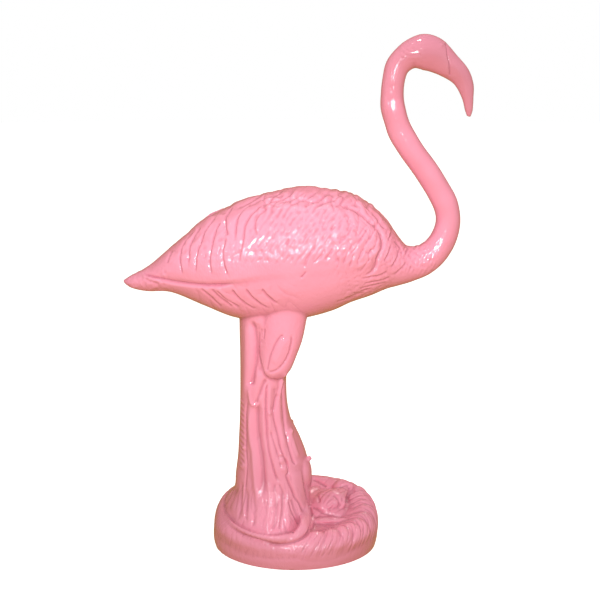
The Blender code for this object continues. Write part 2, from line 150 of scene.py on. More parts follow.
# Foot of the pillar, spread over the mound: up as a share of the mound's height, then along and half
# length as shares of the mound's half length, and half width as a share of its half width.
SKIRT = (
    (0.40, -0.375, 0.500, 0.800),
    (0.75, -0.370, 0.505, 0.850),
    (0.95, -0.362, 0.510, 0.800),
    (1.15, -0.336, 0.502, 0.730),
    (1.45, -0.290, 0.456, 0.625),
)
# How far the skirt is turned, and the heights, in shares of the mound's, between which that turn fades.
SKIRT_TURN = math.radians(11)
SKIRT_STRAIGHT = (1.2, 2.6)

# Where the skirt ends on the mound: its middle along, half length and half width in metres.
SKIRT_OVAL = (-0.078, 0.113, 0.163)

# Rolled lip along the skirt's edge, in the skirt's shares: its thickness and its fall to the front in metres,
# its least thickness as a share, and between which cosines of its turn it grows to the full one.
LIP = (0.79, -0.364, 0.536, 0.951)
LIP_THICK = 0.009
LIP_FALL = 0.009
LIP_THIN = 0.60
LIP_GROWS = (-0.75, 0.15)

# The camera: its place in metres, its tilt downwards, and its lens and sensor in millimetres.
CAMERA_PLACE = (0.0105, -3.0, 1.33)
CAMERA_PITCH = math.radians(12.816)
LENS = 73.47
SENSOR = 36.0

# The lamps: their places, what they are aimed at and the radius of their bulbs, in metres, and their colours.
FLASH_PLACE = (0.0, -3.0, 1.50)
FLASH_AIM = (0.0, 0.0, 0.63)
FLASH_RADIUS = 0.030
KEY_AIM = (-0.03, 0.0, 0.81)
KEY_RADIUS = 0.035
CEILING_PLACE = (0.05, -0.25, 3.3)
CEILING_AIM = (0.0, 0.0, 0.0)
CEILING_RADIUS = 0.05
RIM_LAMP_PLACE = (0.5, 2.2, 2.4)
RIM_LAMP_AIM = (0.07, -0.02, 0.10)
RIM_LAMP_RADIUS = 0.15
BACK_LIGHT_PLACE = (0.8, 3.0, 1.9)
BACK_LIGHT_AIM = (0.0, 0.0, 0.6)
BACK_LIGHT_SPREAD = math.radians(35)
COOL_WHITE = (1.0, 1.0, 1.05)
WARM_WHITE = (1.0, 0.97, 0.94)
AMBER_WHITE = (1.0, 0.93, 0.86)

# The floor's radius in metres, and how dull it is.
FLOOR_RADIUS = 14.0
FLOOR_ROUGHNESS = 0.9

# The room round the statue: how quickly its colours change to the back, to above and to below, and how much
# later the light from above sets in behind the statue.
BACK_RISE = 1.4
ABOVE_RISE = 1.3
ABOVE_DELAY = 0.8
BELOW_RISE = 2.5

# The paint's roughness, and what a full crease adds to it.
PAINT_ROUGHNESS = 0.085
CREASE_ROUGHNESS = 0.30

# The paint: the scales of its clouds and of the fine and coarse unevenness, the lean of that to the front and
# its length along the lean, and the share of the fine one. Clouds begin at a level and then rise this steeply.
CLOUD_SCALE = 9.0
CLOUD_LEVEL = 0.42
CLOUD_RISE = 2.2
FINE_SCALE = 260.0
COARSE_SCALE = 120.0
FINE_SHARE = 0.45
STREAK_LEAN = math.radians(-22)
STREAK_SCALE = (1.0, 1.0, 0.55)

# Rounds of averaging for fine and for broad creases, the depth in metres that counts as full, and the most
# that either adds.
# The creases found darken the paint as painted shade, and the crests found lighten it as painted highlight.
CREASE_SCALES = ((8, 0.0013), (42, 0.0062))
CREASE_MOST = 0.7

# How uneven the paint lies: on the neck, and more on the body, less on the tail and more on the foot. Each
# zone is given by where it starts and where it is full, in shares of the height.
NECK_GRAIN = 0.36
BODY_GRAIN = 0.75
TAIL_GRAIN = -0.10
FOOT_GRAIN = 0.90
BODY_UP = (0.34, 0.44)
NECK_UP = (0.60, 0.66)
NECK_ALONG = (0.15, 0.25)
TAIL_ALONG = (-0.16, -0.04)
FOOT_UP = (0.10, 0.20)

# Where each carving reigns: the bird from these shares of the height upwards, and the mound outside these
# shares of the skirt's oval, below these shares of its own height, and all round below the last two.
BIRD_UP = (0.462, 0.476)
MOUND_OUT = (1.00, 1.08)
MOUND_UP = (1.35, 1.6)
MOUND_WALL_UP = (0.45, 0.62)

# Random waves: their lengths as shares of the size asked for, the usual height of one wave in their sum, and
# how many are added up, more of them for lumps.
WAVE_LENGTHS = (1.6, 3.2)
WAVE_HEIGHT = 1.13
WAVES = 7
LUMP_WAVES = 20

# The drawing: every carved line is placed on the statue as it is seen from the camera, on a sheet that is 600
# units wide and high. Widths and places of lines are in its units, and depths and heights are in metres.
SHEET = 600.0
# How much the skin has to face the camera for carving to start and to be full.
FACING = (0.02, 0.30)
# The share of a line that fades at each end, the same for a firm line, and the reach of a step in half widths.
SOFT_ENDS = 0.15
FIRM_ENDS = 0.10
STEP_REACH = 2.5
# A step's softness and the place and width of the cut under it, in half widths, and the heights of both.
STEP_SOFTNESS = 0.5
CUT_PLACE = 0.4
CUT_WIDTH = 0.7
STEP_SHARE = 0.55
CUT_SHARE = 0.6
# Short pieces that a line is cut into, for each of its rows: on the drawing, and round the wing's pad.
LINE_PIECES = 6
PAD_PIECES = 8
# Which side of a line lies on top, looking along it.
RIGHT_OVER = 1.0
LEFT_OVER = -1.0
# Creased skin: the height of its swellings, the depth and width of its creases, and the softness of both.
WRINKLE = (0.8, 0.5, 0.25, 0.05)
# Small overlapping feathers: the reach of their round tips over the next row, the rows that they take to rise,
# the fall to their sides, their mean level and how much their rows sway.
FEATHER_TIP = 0.55
FEATHER_RISE = 1.5
FEATHER_FALL = 0.45
FEATHER_LEVEL = 0.45
FEATHER_SWAY = 0.35
SWAY_SIZE = 0.05
SWAY_SEEDS = (3, 4)

# Edges of the long feathers of the rear wing. Each feather lies over the next one towards the tail.
REAR_FEATHERS = (
    ((173, 250.5), (170, 256.5), (167.6, 263.5)),
    ((196.3, 230.8), (185.5, 242.5), (181.6, 252.7), (181, 263), (183.5, 275)),
    ((203, 226.8), (194.4, 239.3), (190.6, 250.2), (189.3, 267)),
    ((218.6, 217), (208.4, 229.7), (202, 243.8), (198.2, 255.3), (196.3, 274.5)),
    ((223.1, 222), (217.3, 232.3), (213.5, 246.3), (211, 261.6), (213.5, 276)),
    ((233.5, 206.4), (227.6, 217), (227.6, 228.5), (229, 237)),
    ((228.5, 237), (224.4, 250.2), (225, 263), (229.5, 276)),
    ((252, 202.3), (241.6, 214.4), (237.8, 224.6), (236.5, 241.2)),
    ((264.5, 205.5), (253.1, 215.7), (246.7, 225.9), (244.1, 241.2), (240.9, 255.3), (240.3, 263)),
    ((270, 209), (259.5, 218), (256, 227.2), (258.2, 237.4)),
)

# Short feather edges that lie slanting along the back.
BACK_FEATHERS = (
    ((270.3, 190), (262.7, 195.3), (248.9, 203), (237, 209)),
    ((283, 189.5), (278, 195), (259.6, 201.4), (247.3, 209)),
    ((294.8, 190), (287.1, 198), (271.8, 203.7), (262, 207)),
    ((307, 191), (296.3, 198.5), (284.1, 203.5), (276, 208.3)),
    ((318.5, 191.5), (309.8, 198), (299, 203.4), (290, 208)),
    ((330, 193.5), (321, 200), (313, 204.5), (304, 208)),
    ((341, 197), (333, 201.5), (324, 204.5), (316, 209)),
    ((255, 193.5), (246, 198), (236, 203), (226, 210)),
    ((243, 197.5), (233, 203), (222, 210.5)),
    ((228, 204), (218, 210.5), (208, 218.5)),
    ((214, 211), (205, 218), (197, 226)),
)

# Groove round the wing's front, its companion on the shoulder, and the wing's lower edge by the tail.
WING_FRONT = (
    (333, 203), (340.2, 203.7), (348.2, 207.7), (357.1, 212.1), (362.5, 215.7), (368.8, 222),
    (375.9, 227.3), (379.5, 231.8), (381.7, 238), (382.6, 244.3), (380.4, 251.4), (377.2, 258.6),
    (375.9, 266), (371, 272), (362, 276.5), (352, 278.5),
)
SHOULDER_LINES = (
    ((352, 196.5), (362.5, 202), (368, 208.5), (375.9, 216.5), (381, 223.5), (386, 232)),
    ((372, 205), (380, 212), (388, 221.5), (394, 232)),
)
WING_BACK = ((141, 273), (150, 277), (171, 282.5), (186, 284.6), (204, 286.2), (221, 286), (236, 283.5))
UNDER_TAIL = ((144, 278.5), (152, 281.5), (160, 283.5))

# Feather edges on the flank under the wing.
FLANK_FEATHERS = (
    ((201, 286.5), (208, 293), (215.5, 300.5), (223, 307)),
    ((212, 287), (218, 294.5), (226, 301.5), (233.5, 307)),
    ((216.5, 288.5), (224.5, 297), (233, 303), (240, 307)),
    ((232, 288), (238, 296.5), (247, 304), (257, 309)),
    ((246, 287.5), (252, 296), (261, 303.5), (270, 308)),
    ((262, 288), (269, 296.5), (278, 303.5)),
)

# Long slanting lines and small creases on the front half of the wing.
WING_LINES = (
    ((355, 225.5), (350, 231), (348.7, 234.5), (342.9, 240.7), (338.5, 245.5)),
    ((368, 229), (362.5, 237.1), (355.4, 248.8), (350, 254.5)),
    ((376, 229), (371.4, 235.4), (368.5, 241.5)),
    ((336, 241.6), (333, 248), (330, 255.5)),
    ((308, 233), (305.5, 239), (302.5, 245)),
    ((317, 241.6), (314.3, 249), (311.6, 252), (307.1, 262.1), (305, 268.5)),
    ((321.8, 254.5), (318, 259), (314, 263.5)),
    ((307, 271.6), (304, 275.6), (301.5, 278.6)),
    ((364.3, 248), (360.7, 256), (358.5, 261)),
    ((371.5, 248), (368.5, 255), (369.5, 262)),
    ((346, 213.5), (348.5, 219), (347, 224)),
    ((325, 222), (322.5, 229)),
    ((290, 236), (287.5, 246)),
    ((276, 231), (273.5, 240)),
)

# Lines of the small feathers on the breast and in front of the wing.
BREAST_LINES = (
    ((360, 278.5), (370, 276.5), (380, 274.5), (388, 270)),
    ((362, 283.5), (372, 281.5), (382, 279.5), (391, 276)),
    ((358, 288), (368, 286), (378, 284), (387, 281.5)),
    ((352, 293), (362, 290.5), (372, 288)),
    ((344, 297.5), (354, 294.8), (364, 292)),
    ((336, 301.5), (346, 298.8), (354, 296)),
    ((383, 262), (388, 253), (391, 244)),
    ((390, 268), (396, 259), (399, 249)),
    ((387, 241), (391, 233), (391.5, 227)),
    ((395, 240), (400, 246), (403, 254)),
    ((393, 275), (401, 268), (406, 261)),
)

# Creased skin: a window on the drawing (left, right, top, bottom, soft border), then the angle, the
# length and the width of its swellings and their height in metres.
WRINKLED = (
    ((258, 372, 194, 211, 6), 166, 8.5, 4.2, 0.0026),
    ((330, 378, 214, 268, 8), 124, 14.0, 5.4, 0.0019),
    ((345, 402, 198, 240, 9), 60, 7.0, 4.2, 0.0013),
    ((378, 408, 238, 270, 7), 128, 5.0, 3.4, 0.0008),
    ((334, 396, 268, 300, 7), 172, 6.5, 3.6, 0.0006),
    ((190, 300, 284, 312, 6), 42, 16.0, 5.0, 0.0010),
)
# Lumpy skin in the same terms, without creases.
LUMPY = (
    ((252, 345, 206, 262, 8), 108, 4.1, 2.7, 0.00125),
    ((175, 252, 226, 264, 8), 104, 4.4, 2.8, 0.00115),
    ((150, 260, 196, 236, 8), 140, 7.0, 3.6, 0.0007),
    ((258, 380, 188, 212, 8), 160, 4.6, 3.0, 0.0013),
    ((336, 384, 214, 268, 8), 118, 3.8, 2.5, 0.0008),
    ((400, 436, 244, 272, 6), 110, 2.6, 2.0, 0.0010),
    ((126, 170, 270, 292, 5), 150, 2.8, 2.0, 0.0006),
    ((268, 292, 338, 368, 5), 110, 2.8, 2.0, 0.00055),
    ((398, 426, 44, 64, 5), 20, 2.8, 2.0, 0.0004),
)
# Small overlapping feathers in the same terms.
SCALED = (
    ((318, 376, 208, 258, 12), 118, 9.0, 6.4, 0.0009),
    ((376, 408, 205, 268, 8), 128, 6.4, 4.6, 0.0009),
    ((345, 395, 270, 300, 8), 165, 8.0, 4.6, 0.0010),
)

# The line where the bill begins and the ridge along the bill.
BILL_LINE = ((444.8, 43.5), (446.2, 47.5), (447, 55.7), (448.5, 62.5), (448.9, 70), (448.8, 76))
BILL_RIDGE = ((452, 60), (459, 72), (464.5, 86), (467, 100))
# Flat spots of the neck and, with a depth below 0, a raised one beside the bill: place, radius and depth.
NECK_FLATS = ((391.5, 101.5, 4.8, 0.0017), (391, 88.5, 3.0, 0.0009), (441.9, 45.2, 1.5, -0.0024))
# The eye, a low round spot: place, radius and height.
EYE = (416.0, 57.6, 1.8, 0.0009)
# Gentle waves of the neck: from and to which share of the height they set in, their size, height and seed.
NECK_WAVES_UP = (0.64, 0.70)
NECK_WAVE_SIZE = 0.03
NECK_WAVE_HEIGHT = 0.0008
NECK_WAVE_SEED = 8

# The thigh: its rear outline, and the leaf on it with its swelling.
THIGH_OUTLINE = (
    (260.5, 330), (259.2, 343), (259.4, 354), (261.8, 366), (265, 374), (270, 378.2), (277, 379),
)
LEAF_BACK = ((284, 334.5), (279, 338.5), (274, 346.5), (270.2, 356), (267.8, 366), (266.8, 371.5))
LEAF_FRONT = ((291.8, 334), (291.3, 345), (288, 356), (282, 365.5), (275, 371), (267.5, 372.5))
LEAF_SWELL = ((285, 338), (281.5, 347), (278, 356), (273, 365))

# Soft folds of the pillar: half width on the drawing, depth in metres (below 0 for a ridge), then the line.
PILLAR_FOLDS = (
    (3.2, -0.0030, ((246, 318), (246.5, 347), (246.3, 366), (245.5, 384), (245, 398))),
    (2.8, 0.0096, ((250.8, 318), (253.8, 332), (254.9, 350), (253.8, 366), (251.6, 380), (250.2, 387))),
    (3.2, 0.0054, ((258.2, 322), (258.2, 340), (257.2, 360), (259.5, 376))),
    (2.2, 0.0052, ((267, 378), (262.5, 387), (259, 396), (256, 405))),
    (1.5, -0.0032, ((249.2, 386), (249.6, 395), (251, 403), (255.5, 406), (258.4, 402), (261.5, 393))),
    (2.4, -0.0046, ((250.0, 404), (249.8, 425), (251, 440), (253.5, 455), (254.5, 470), (256, 490),
                    (257, 508))),
    (3.4, 0.0094, ((258, 398), (257.2, 416), (257.6, 432), (260, 448), (261.8, 462), (263, 480),
                   (263.4, 500))),
    (1.6, -0.0018, ((263.6, 404), (263.6, 420), (264.4, 436))),
    (1.6, -0.0020, ((270.3, 384), (269.6, 400), (269.4, 418), (270.8, 436))),
    (2.2, -0.0026, ((279.2, 396), (279, 412), (281.5, 432), (285, 448))),
    (1.5, -0.0040, ((288.6, 372), (282, 378.5), (279.6, 386), (277.6, 397))),
    (1.6, -0.0030, ((290.5, 426), (291.5, 436), (295, 448), (299, 458))),
    (2.0, 0.0026, ((275.5, 386), (274.6, 400), (272, 412))),
    (2.0, -0.0018, ((268, 478), (269.4, 500), (267.6, 519), (266, 533))),
    (2.2, 0.0026, ((273, 480), (276.4, 498), (275.6, 516), (273.4, 533))),
    (1.4, -0.0024, ((279.8, 498), (279.8, 512), (278.4, 528))),
    (1.6, 0.0030, ((282, 488), (282.6, 506), (281, 519), (279, 531))),
    (1.8, 0.0020, ((255.4, 488), (254.6, 508), (253.4, 529))),
    (1.3, -0.0026, ((244.4, 484), (244.4, 500), (244.2, 518))),
    (1.5, 0.0022, ((241.6, 478), (241.6, 496), (240.2, 511), (238, 521))),
    (1.3, 0.0022, ((247, 488), (246.8, 504), (246.4, 524))),
    (2.0, 0.0018, ((237, 487), (233, 499), (227, 511))),
    (1.2, 0.0024, ((234, 484), (229.5, 496), (223, 507))),
    (1.8, 0.0026, ((291, 497), (294, 507), (297.6, 519), (299, 526))),
    (1.6, -0.0036, ((282.6, 379), (280.4, 384), (279.2, 392), (278.6, 402))),
    (2.0, -0.0022, ((286.5, 492), (287, 504), (288.5, 518), (289, 530))),
    (2.4, -0.0016, ((292, 466), (299, 462.5), (307, 464))),
)

# Fine lines of the pillar: half width, depth and the line.
PILLAR_LINES = (
    (1.0, 0.0030, ((247.5, 400), (246.2, 412), (246, 430), (246, 450), (247, 466), (245, 490), (244, 508))),
    (1.1, 0.0052, ((268.4, 382), (266.5, 391), (266, 410), (266.7, 424), (267.4, 439), (268.8, 451),
                   (271.8, 463), (275.4, 475), (279, 483))),
    (1.0, 0.0040, ((279, 381), (277.7, 392.7), (275, 404.3), (274, 418), (277.6, 432.7), (280, 445),
                   (283.6, 455.8), (287.3, 463), (288.5, 472.7))),
    (1.2, 0.0056, ((283.9, 380), (283, 392.7), (283.9, 410.5), (285.7, 430), (287.5, 437), (289.7, 448.5),
                   (293.3, 460.6), (295.8, 465.5))),
    (0.9, 0.0030, ((270, 429), (274.6, 445), (278.8, 458), (281, 468))),
    (1.1, 0.0046, ((284.8, 457), (287.9, 465.5), (288.5, 472.7), (286.7, 476.4), (290.9, 487.3),
                   (295.8, 498.2), (299.8, 505), (303, 514))),
    (0.9, 0.0030, ((287.9, 500.6), (292, 511.5), (298.2, 523.6))),
    (0.9, 0.0026, ((261.6, 328.4), (261.4, 336), (260.7, 343.6))),
    (0.8, 0.0022, ((264.5, 328.4), (264, 334), (263.4, 340))),
    (0.9, 0.0026, ((279, 484), (283, 492), (285, 500))),
    (1.2, 0.0040, ((303.4, 482), (305.8, 490), (308.4, 501), (310.2, 508), (311.8, 517))),
)
# Creased skin of the pillar's foot and of the mound, in the terms of WRINKLED.
PILLAR_WRINKLES = (
    ((222, 262, 486, 530, 7), 100, 14.0, 3.6, 0.0011),
    ((262, 292, 484, 534, 7), 88, 13.0, 3.6, 0.0011),
    ((241, 300, 398, 478, 8), 92, 26.0, 4.6, 0.0009),
)
MOUND_WRINKLES = (
    ((206, 300, 528, 558, 8), 84, 12.0, 3.4, 0.0008),
    ((310, 352, 480, 520, 6), 150, 12.0, 4.4, 0.0013),
    ((308, 345, 512, 532, 5), 10, 12.0, 5.0, 0.0006),
)
# Round knots of the pillar: place and radius, and their height.
BUMPS = (
    (281.5, 461.5, 2.6), (284.4, 469.0, 3.0), (280.6, 454.0, 1.8), (291.0, 431.5, 2.0), (269.4, 413.5, 1.6),
    (244.0, 448.0, 1.8), (242.5, 466.0, 2.2),
)
BUMP_HEIGHT = 0.0034
# Slanting marks down the pillar's rear edge: the line, its half width, their spacing, depth and slant.
HATCH = ((241.0, 394), (242.5, 420), (242, 446), (242.5, 472))
HATCH_CUT = (2.4, 5.6, 0.0009)
HATCH_SLANT = 1.1

# The leaf cluster on the mound: creases, then the veins.
LEAF_CREASES = (
    ((354.4, 486), (353.1, 490.8), (348.7, 494.6), (347.4, 499), (346.8, 503)),
    ((332.5, 494), (337, 497.5), (339.3, 501), (339.3, 507)),
    ((310.4, 506), (317.4, 509.3), (323.8, 513), (330.8, 514.4), (337.2, 516.3), (343, 517)),
    ((313, 479), (319, 482), (327, 487)),
    ((316.5, 494), (318.5, 498), (319, 503)),
    ((322, 494), (328, 490), (334, 487.5)),
)
LEAF_VEINS = (
    ((322.5, 505), (326, 497.5), (331, 492)),
    ((324, 508), (329, 501), (335, 496.5)),
    ((324.4, 509.3), (329.5, 504.2), (334.6, 502)),
    ((318.5, 503), (321, 496.5), (326, 491)),
    ((327.6, 511.2), (333.4, 506), (337.2, 504.2)),
    ((336, 489.5), (343, 486), (350, 484.5)),
    ((339, 493), (345.5, 490), (351, 488)),
    ((342.6, 497), (342, 502), (341.4, 507)),
)

# Leaves of the cluster: both ends in metres, then width, thickness, arch and roll in degrees.
LEAVES = (
    ((0.036, -0.004, 0.082), (0.140, 0.072, 0.116), 0.092, 0.040, 0.006, -8),
    ((0.094, 0.098, 0.106), (0.160, 0.084, 0.114), 0.046, 0.040, 0.004, 8),
    ((0.116, -0.004, 0.090), (0.128, 0.026, 0.112), 0.020, 0.016, 0.002, -10),
    ((0.014, 0.030, 0.086), (0.064, 0.112, 0.108), 0.052, 0.026, 0.003, 8),
    ((0.030, -0.036, 0.070), (0.140, -0.046, 0.079), 0.044, 0.014, 0.001, -14),
)
# The ground under the leaves: a lobe's place, half sizes and turns about X and Z in degrees.
LEAF_BED = ((0.088, 0.034, 0.080), (0.072, 0.074, 0.026), (14, 30))
# How a leaf swells and tapers along its length, and how much its sides fold down.
LEAF_SWELLS = (0.85, 0.8)
LEAF_FOLD = 0.10

# The strap's raised band, the sharp edge under it and the soft edge of the mound's foot, on the drawing.
STRAP_LINE = (
    (295.8, 470), (297.4, 482), (299.6, 494), (302.8, 507), (304.8, 517), (304.4, 525), (300.5, 532.5),
    (291, 538), (278, 540.2), (262, 540.2),
)
STRAP_EDGE = (
    (304.5, 482), (307.6, 500), (309.8, 507.4), (311.4, 517), (310.8, 526.5), (306.8, 534), (299.5, 539.5),
    (288, 543.2), (275, 544.2), (263, 542.5),
)
PLINTH_LINE = (
    (224, 545), (236, 551), (252, 556), (274, 558.5), (296, 558), (310, 561), (326, 561), (342, 556),
    (356, 548), (367, 538),
)
# The band's half width on the pillar and on the mound, its height, how it fades at its ends, and how its
# sides fall, in shares of its half width.
BAND_ON_PILLAR = 5.6
BAND_ON_MOUND = 5.0
BAND_HEIGHT = 0.0030
BAND_ENDS = (0.06, 0.14)
BAND_SIDES = (0.72, 1.05)
# The flat strap from the knot down the pillar's side and round on to the lip, with its half widths.
STRAP = (
    (-0.0400, -0.172, 0.072, 0.009),
    (-0.0180, -0.171, 0.073, 0.011),
    (-0.0020, -0.165, 0.0775, 0.013),
    (0.0120, -0.155, 0.0855, 0.015),
    (0.0220, -0.138, 0.0940, 0.016),
    (0.0245, -0.110, 0.1000, 0.016),
    (0.0235, -0.085, 0.1080, 0.016),
    (0.0190, -0.066, 0.1230, 0.015),
    (0.0110, -0.058, 0.1450, 0.014),
    (0.0030, -0.058, 0.1700, 0.012),
    (-0.0030, -0.057, 0.1950, 0.009),
)
# Which way the strap's flat side looks, its thickness as a share of its width, and the power of its taper.
STRAP_FACES = (0.35, -1.0, 0.25)
STRAP_THICKNESS = 0.50
STRAP_TAPER = 0.25

# The knot's place and half sizes and the broken twig's ends, in shares of the height, and the twig's radius
# at its tip in metres and how much wider it starts.
KNOT = ((0.0095, -0.0150, 0.1490), (0.0222, 0.0300, 0.0400))
TWIG_START = (0.0100, -0.0150, 0.1720)
TWIG_END = (0.0300, -0.0170, 0.1830)
TWIG_RADIUS = 0.0062
TWIG_TAPER = 1.3

# The wing's pad: its outline as places along and up in shares of the height.
WING_EDGE = (
    (-0.130, 0.672),
    (-0.080, 0.690),
    (0.000, 0.699),
    (0.080, 0.690),
    (0.122, 0.675),
    (0.150, 0.648),
    (0.162, 0.618),
    (0.152, 0.594),
    (0.135, 0.578),
    (0.095, 0.571),
    (0.020, 0.564),
    (-0.062, 0.558),
    (-0.118, 0.549),
    (-0.175, 0.542),
    (-0.235, 0.545),
    (-0.280, 0.553),
)
# The pad's height in metres, and between which distances from its edge it steps up. The step grows softer over
# the first pair of shares of the edge and firm again over the second, by this much and within this reach.
WING_LIFT = 0.006
WING_STEP = (-0.002, 0.016)
WING_SOFT_FROM = (0.46, 0.64)
WING_SOFT_TO = (0.70, 0.80)
WING_SOFTNESS = 0.75
WING_SOFT_REACH = 0.05

# Grass strokes on the mound. They set in from the first number to the second: outwards and upwards on the rim,
# in shares of its half size and height, round the mound by angle, where they fade out again, and right of the
# strap and below it on the drawing. Behind the leaves they keep to the outer wall.
RIM_OUT = (0.64, 0.76)
RIM_UP = (0.20, 0.55)
GRASS_FROM = (math.radians(-98), math.radians(-80))
GRASS_TO = (2.2, 2.7)
GRASS_RIGHT_OF = (306, 314)
GRASS_BELOW = (537, 545)
BEHIND_LEAVES = (0.45, 0.85)
OUTER_WALL = (0.93, 0.98)
# Their tufts: length, width and lean in metres, form as in WRINKLE, mean level and height. Their strokes: how
# much finer than a tuft, and their height in the tufts and on the bare rim.
TUFT_LENGTH = 0.060
TUFT_WIDTH = 0.0125
TUFT_LEAN = 0.030
TUFT = (1.0, 0.7, 0.22, 0.03)
TUFT_LEVEL = 0.4
TUFT_HEIGHT = 0.0018
TUFT_SEED = 5
STROKE_FINENESS = 2.8
STROKE_HEIGHT = 0.0006
BARE_STROKE_HEIGHT = 0.0003
STROKE_SEED = 6
# The broad waves of the rim's crest: how many in a half turn and their slant per metre, sway, softness, level
# and height, and between which shares of the mound's height they set in.
CREST_WAVES = 16.0
CREST_SLANT = 14.0
CREST_SWAY = 1.4
CREST_SWAY_SIZE = 0.07
CREST_SEED = 11
CREST_SOFTNESS = 0.03
CREST_LEVEL = 0.65
CREST_HEIGHT = 0.0052
CREST_UP = (0.45, 0.80)

# How the lines above are cut. Feather edges: the lines, their half width and the height of their step.
FEATHER_EDGES = (
    (REAR_FEATHERS, 1.6, 0.0042),
    (BACK_FEATHERS, 1.5, 0.0026),
    (FLANK_FEATHERS, 1.7, 0.0042),
    (WING_LINES, 1.3, 0.0026),
    (BREAST_LINES, 1.4, 0.0024),
)
# Grooves: the lines, their half width, their depth, below 0 for a ridge, and the share that fades at the ends.
BIRD_GROOVES = (
    (SHOULDER_LINES, 2.0, 0.0026, SOFT_ENDS),
    ((WING_FRONT,), 1.9, 0.0052, 0.25),
    ((UNDER_TAIL,), 1.4, 0.0024, SOFT_ENDS),
    ((BILL_RIDGE,), 1.6, -0.0010, SOFT_ENDS),
)
LEAF_GROOVES = (
    ((LEAF_BACK,), 1.2, 0.0028, FIRM_ENDS),
    ((LEAF_FRONT,), 1.2, 0.0032, FIRM_ENDS),
    ((LEAF_SWELL,), 4.0, -0.0022, SOFT_ENDS),
)
MOUND_GROOVES = (
    ((STRAP_EDGE,), 1.4, 0.0040, 0.08),
    ((PLINTH_LINE,), 2.6, 0.0010, 0.2),
    (LEAF_CREASES, 1.3, 0.0044, FIRM_ENDS),
    (LEAF_VEINS, 1.0, 0.0019, SOFT_ENDS),
)
# Single steps: the line, its half width, the step's height, the side on top, the fading share and the reach.
WING_BACK_STEP = (WING_BACK, 1.8, 0.0070, RIGHT_OVER, 0.2, 6.0)
BILL_STEP = (BILL_LINE, 1.1, 0.0034, RIGHT_OVER, 0.04)
THIGH_STEP = (THIGH_OUTLINE, 1.6, 0.0040, LEFT_OVER, FIRM_ENDS)


def smoothstep(low, high, value):
    """0 below low, 1 above high and an S-shaped rise between."""
    share = np.clip((value - low) / (high - low), 0.0, 1.0)
    return share * share * (3.0 - 2.0 * share)


def dip(distance, width):
    """A round bump, 1 high at distance 0."""
    return np.exp(-(distance / width) ** 2)


def spline(rows, share):
    """The smooth curve through the rows, read at shares from 0 to 1 of its length in rows."""
    rows = np.asarray(rows, float)
    last = len(rows) - 1
    ends = np.vstack([2 * rows[0] - rows[1], rows, 2 * rows[-1] - rows[-2]])
    place = np.clip(np.asarray(share, float) * last, 0.0, last - 1e-9)
    start = place.astype(int)
    part = (place - start)[:, None]
    before, here, after, beyond = (ends[start + step] for step in range(4))
    return 0.5 * (
        2 * here
        + (after - before) * part
        + (2 * before - 5 * here + 4 * after - beyond) * part**2
        + (3 * here - before - 3 * after + beyond) * part**3
    )


def read_points(mesh):
    """The vertices of a mesh as an array of rows."""
    flat = np.empty(len(mesh.vertices) * 3)
    mesh.vertices.foreach_get("co", flat)
    return flat.reshape(-1, 3)


def read_normals(mesh):
    """The vertex normals of a mesh as an array of rows."""
    flat = np.empty(len(mesh.vertices) * 3)
    mesh.vertices.foreach_get("normal", flat)
    return flat.reshape(-1, 3)


def write_points(mesh, points):
    """Move the vertices of a mesh to the rows of an array."""
    mesh.vertices.foreach_set("co", np.asarray(points, float).ravel())
    mesh.update()


def nothing_selected():
    """Leave nothing selected, so that the next operator acts on its own piece alone."""
    bpy.ops.object.select_all(action="DESELECT")


def added(name):
    """The object that an operator has just added, under its own name."""
    thing = bpy.context.object
    thing.name = name
    return thing


def noise(points, size, seed, waves=WAVES):
    """Soft random values from -1 to 1 that change over about the given size."""
    maker = np.random.default_rng(seed)
    total = np.zeros(len(points))
    for _ in range(waves):
        way = maker.normal(size=points.shape[1])
        way *= 2 * math.pi / (size * maker.uniform(*WAVE_LENGTHS) * np.linalg.norm(way))
        total += np.sin(points @ way + maker.uniform(0, 2 * math.pi))
    return total / (WAVE_HEIGHT * math.sqrt(waves))


def creased(value, form):
    """Swellings with creases between them, from soft random values."""
    swelling, depth, width, softness = form
    return swelling * np.sqrt(np.abs(value) + softness) - depth * dip(value, width)


def fading(share, ends):
    """1 along a line's middle, fading to 0 over the given share at each end."""
    return smoothstep(0.0, ends, share) * (1.0 - smoothstep(1.0 - ends, 1.0, share))


def nearest(places, rows, pieces):
    """The distance of places to the line through the rows, the side they lie on and their share along it."""
    count = pieces * (len(rows) - 1)
    line = spline(rows, np.linspace(0.0, 1.0, count + 1))
    best = np.full(len(places), np.inf)
    side = np.zeros(len(places))
    share = np.zeros(len(places))
    for index in range(count):
        start, way = line[index], line[index + 1] - line[index]
        off = places - start
        part = np.clip(off @ way / (way @ way), 0.0, 1.0)
        gap = np.linalg.norm(off - part[:, None] * way, axis=1)
        closer = gap < best
        best[closer] = gap[closer]
        side[closer] = np.sign(way[0] * off[closer, 1] - way[1] * off[closer, 0])
        share[closer] = (index + part[closer]) / count
    return best, side, share


def soft_window(u, v, edges):
    """1 inside a rectangle of the drawing and 0 outside, with soft borders."""
    left, right, top, bottom, soft = edges
    across = smoothstep(left - soft, left + soft, u) * (1.0 - smoothstep(right - soft, right + soft, u))
    from_top = smoothstep(top - soft, top + soft, v)
    return across * from_top * (1.0 - smoothstep(bottom - soft, bottom + soft, v))


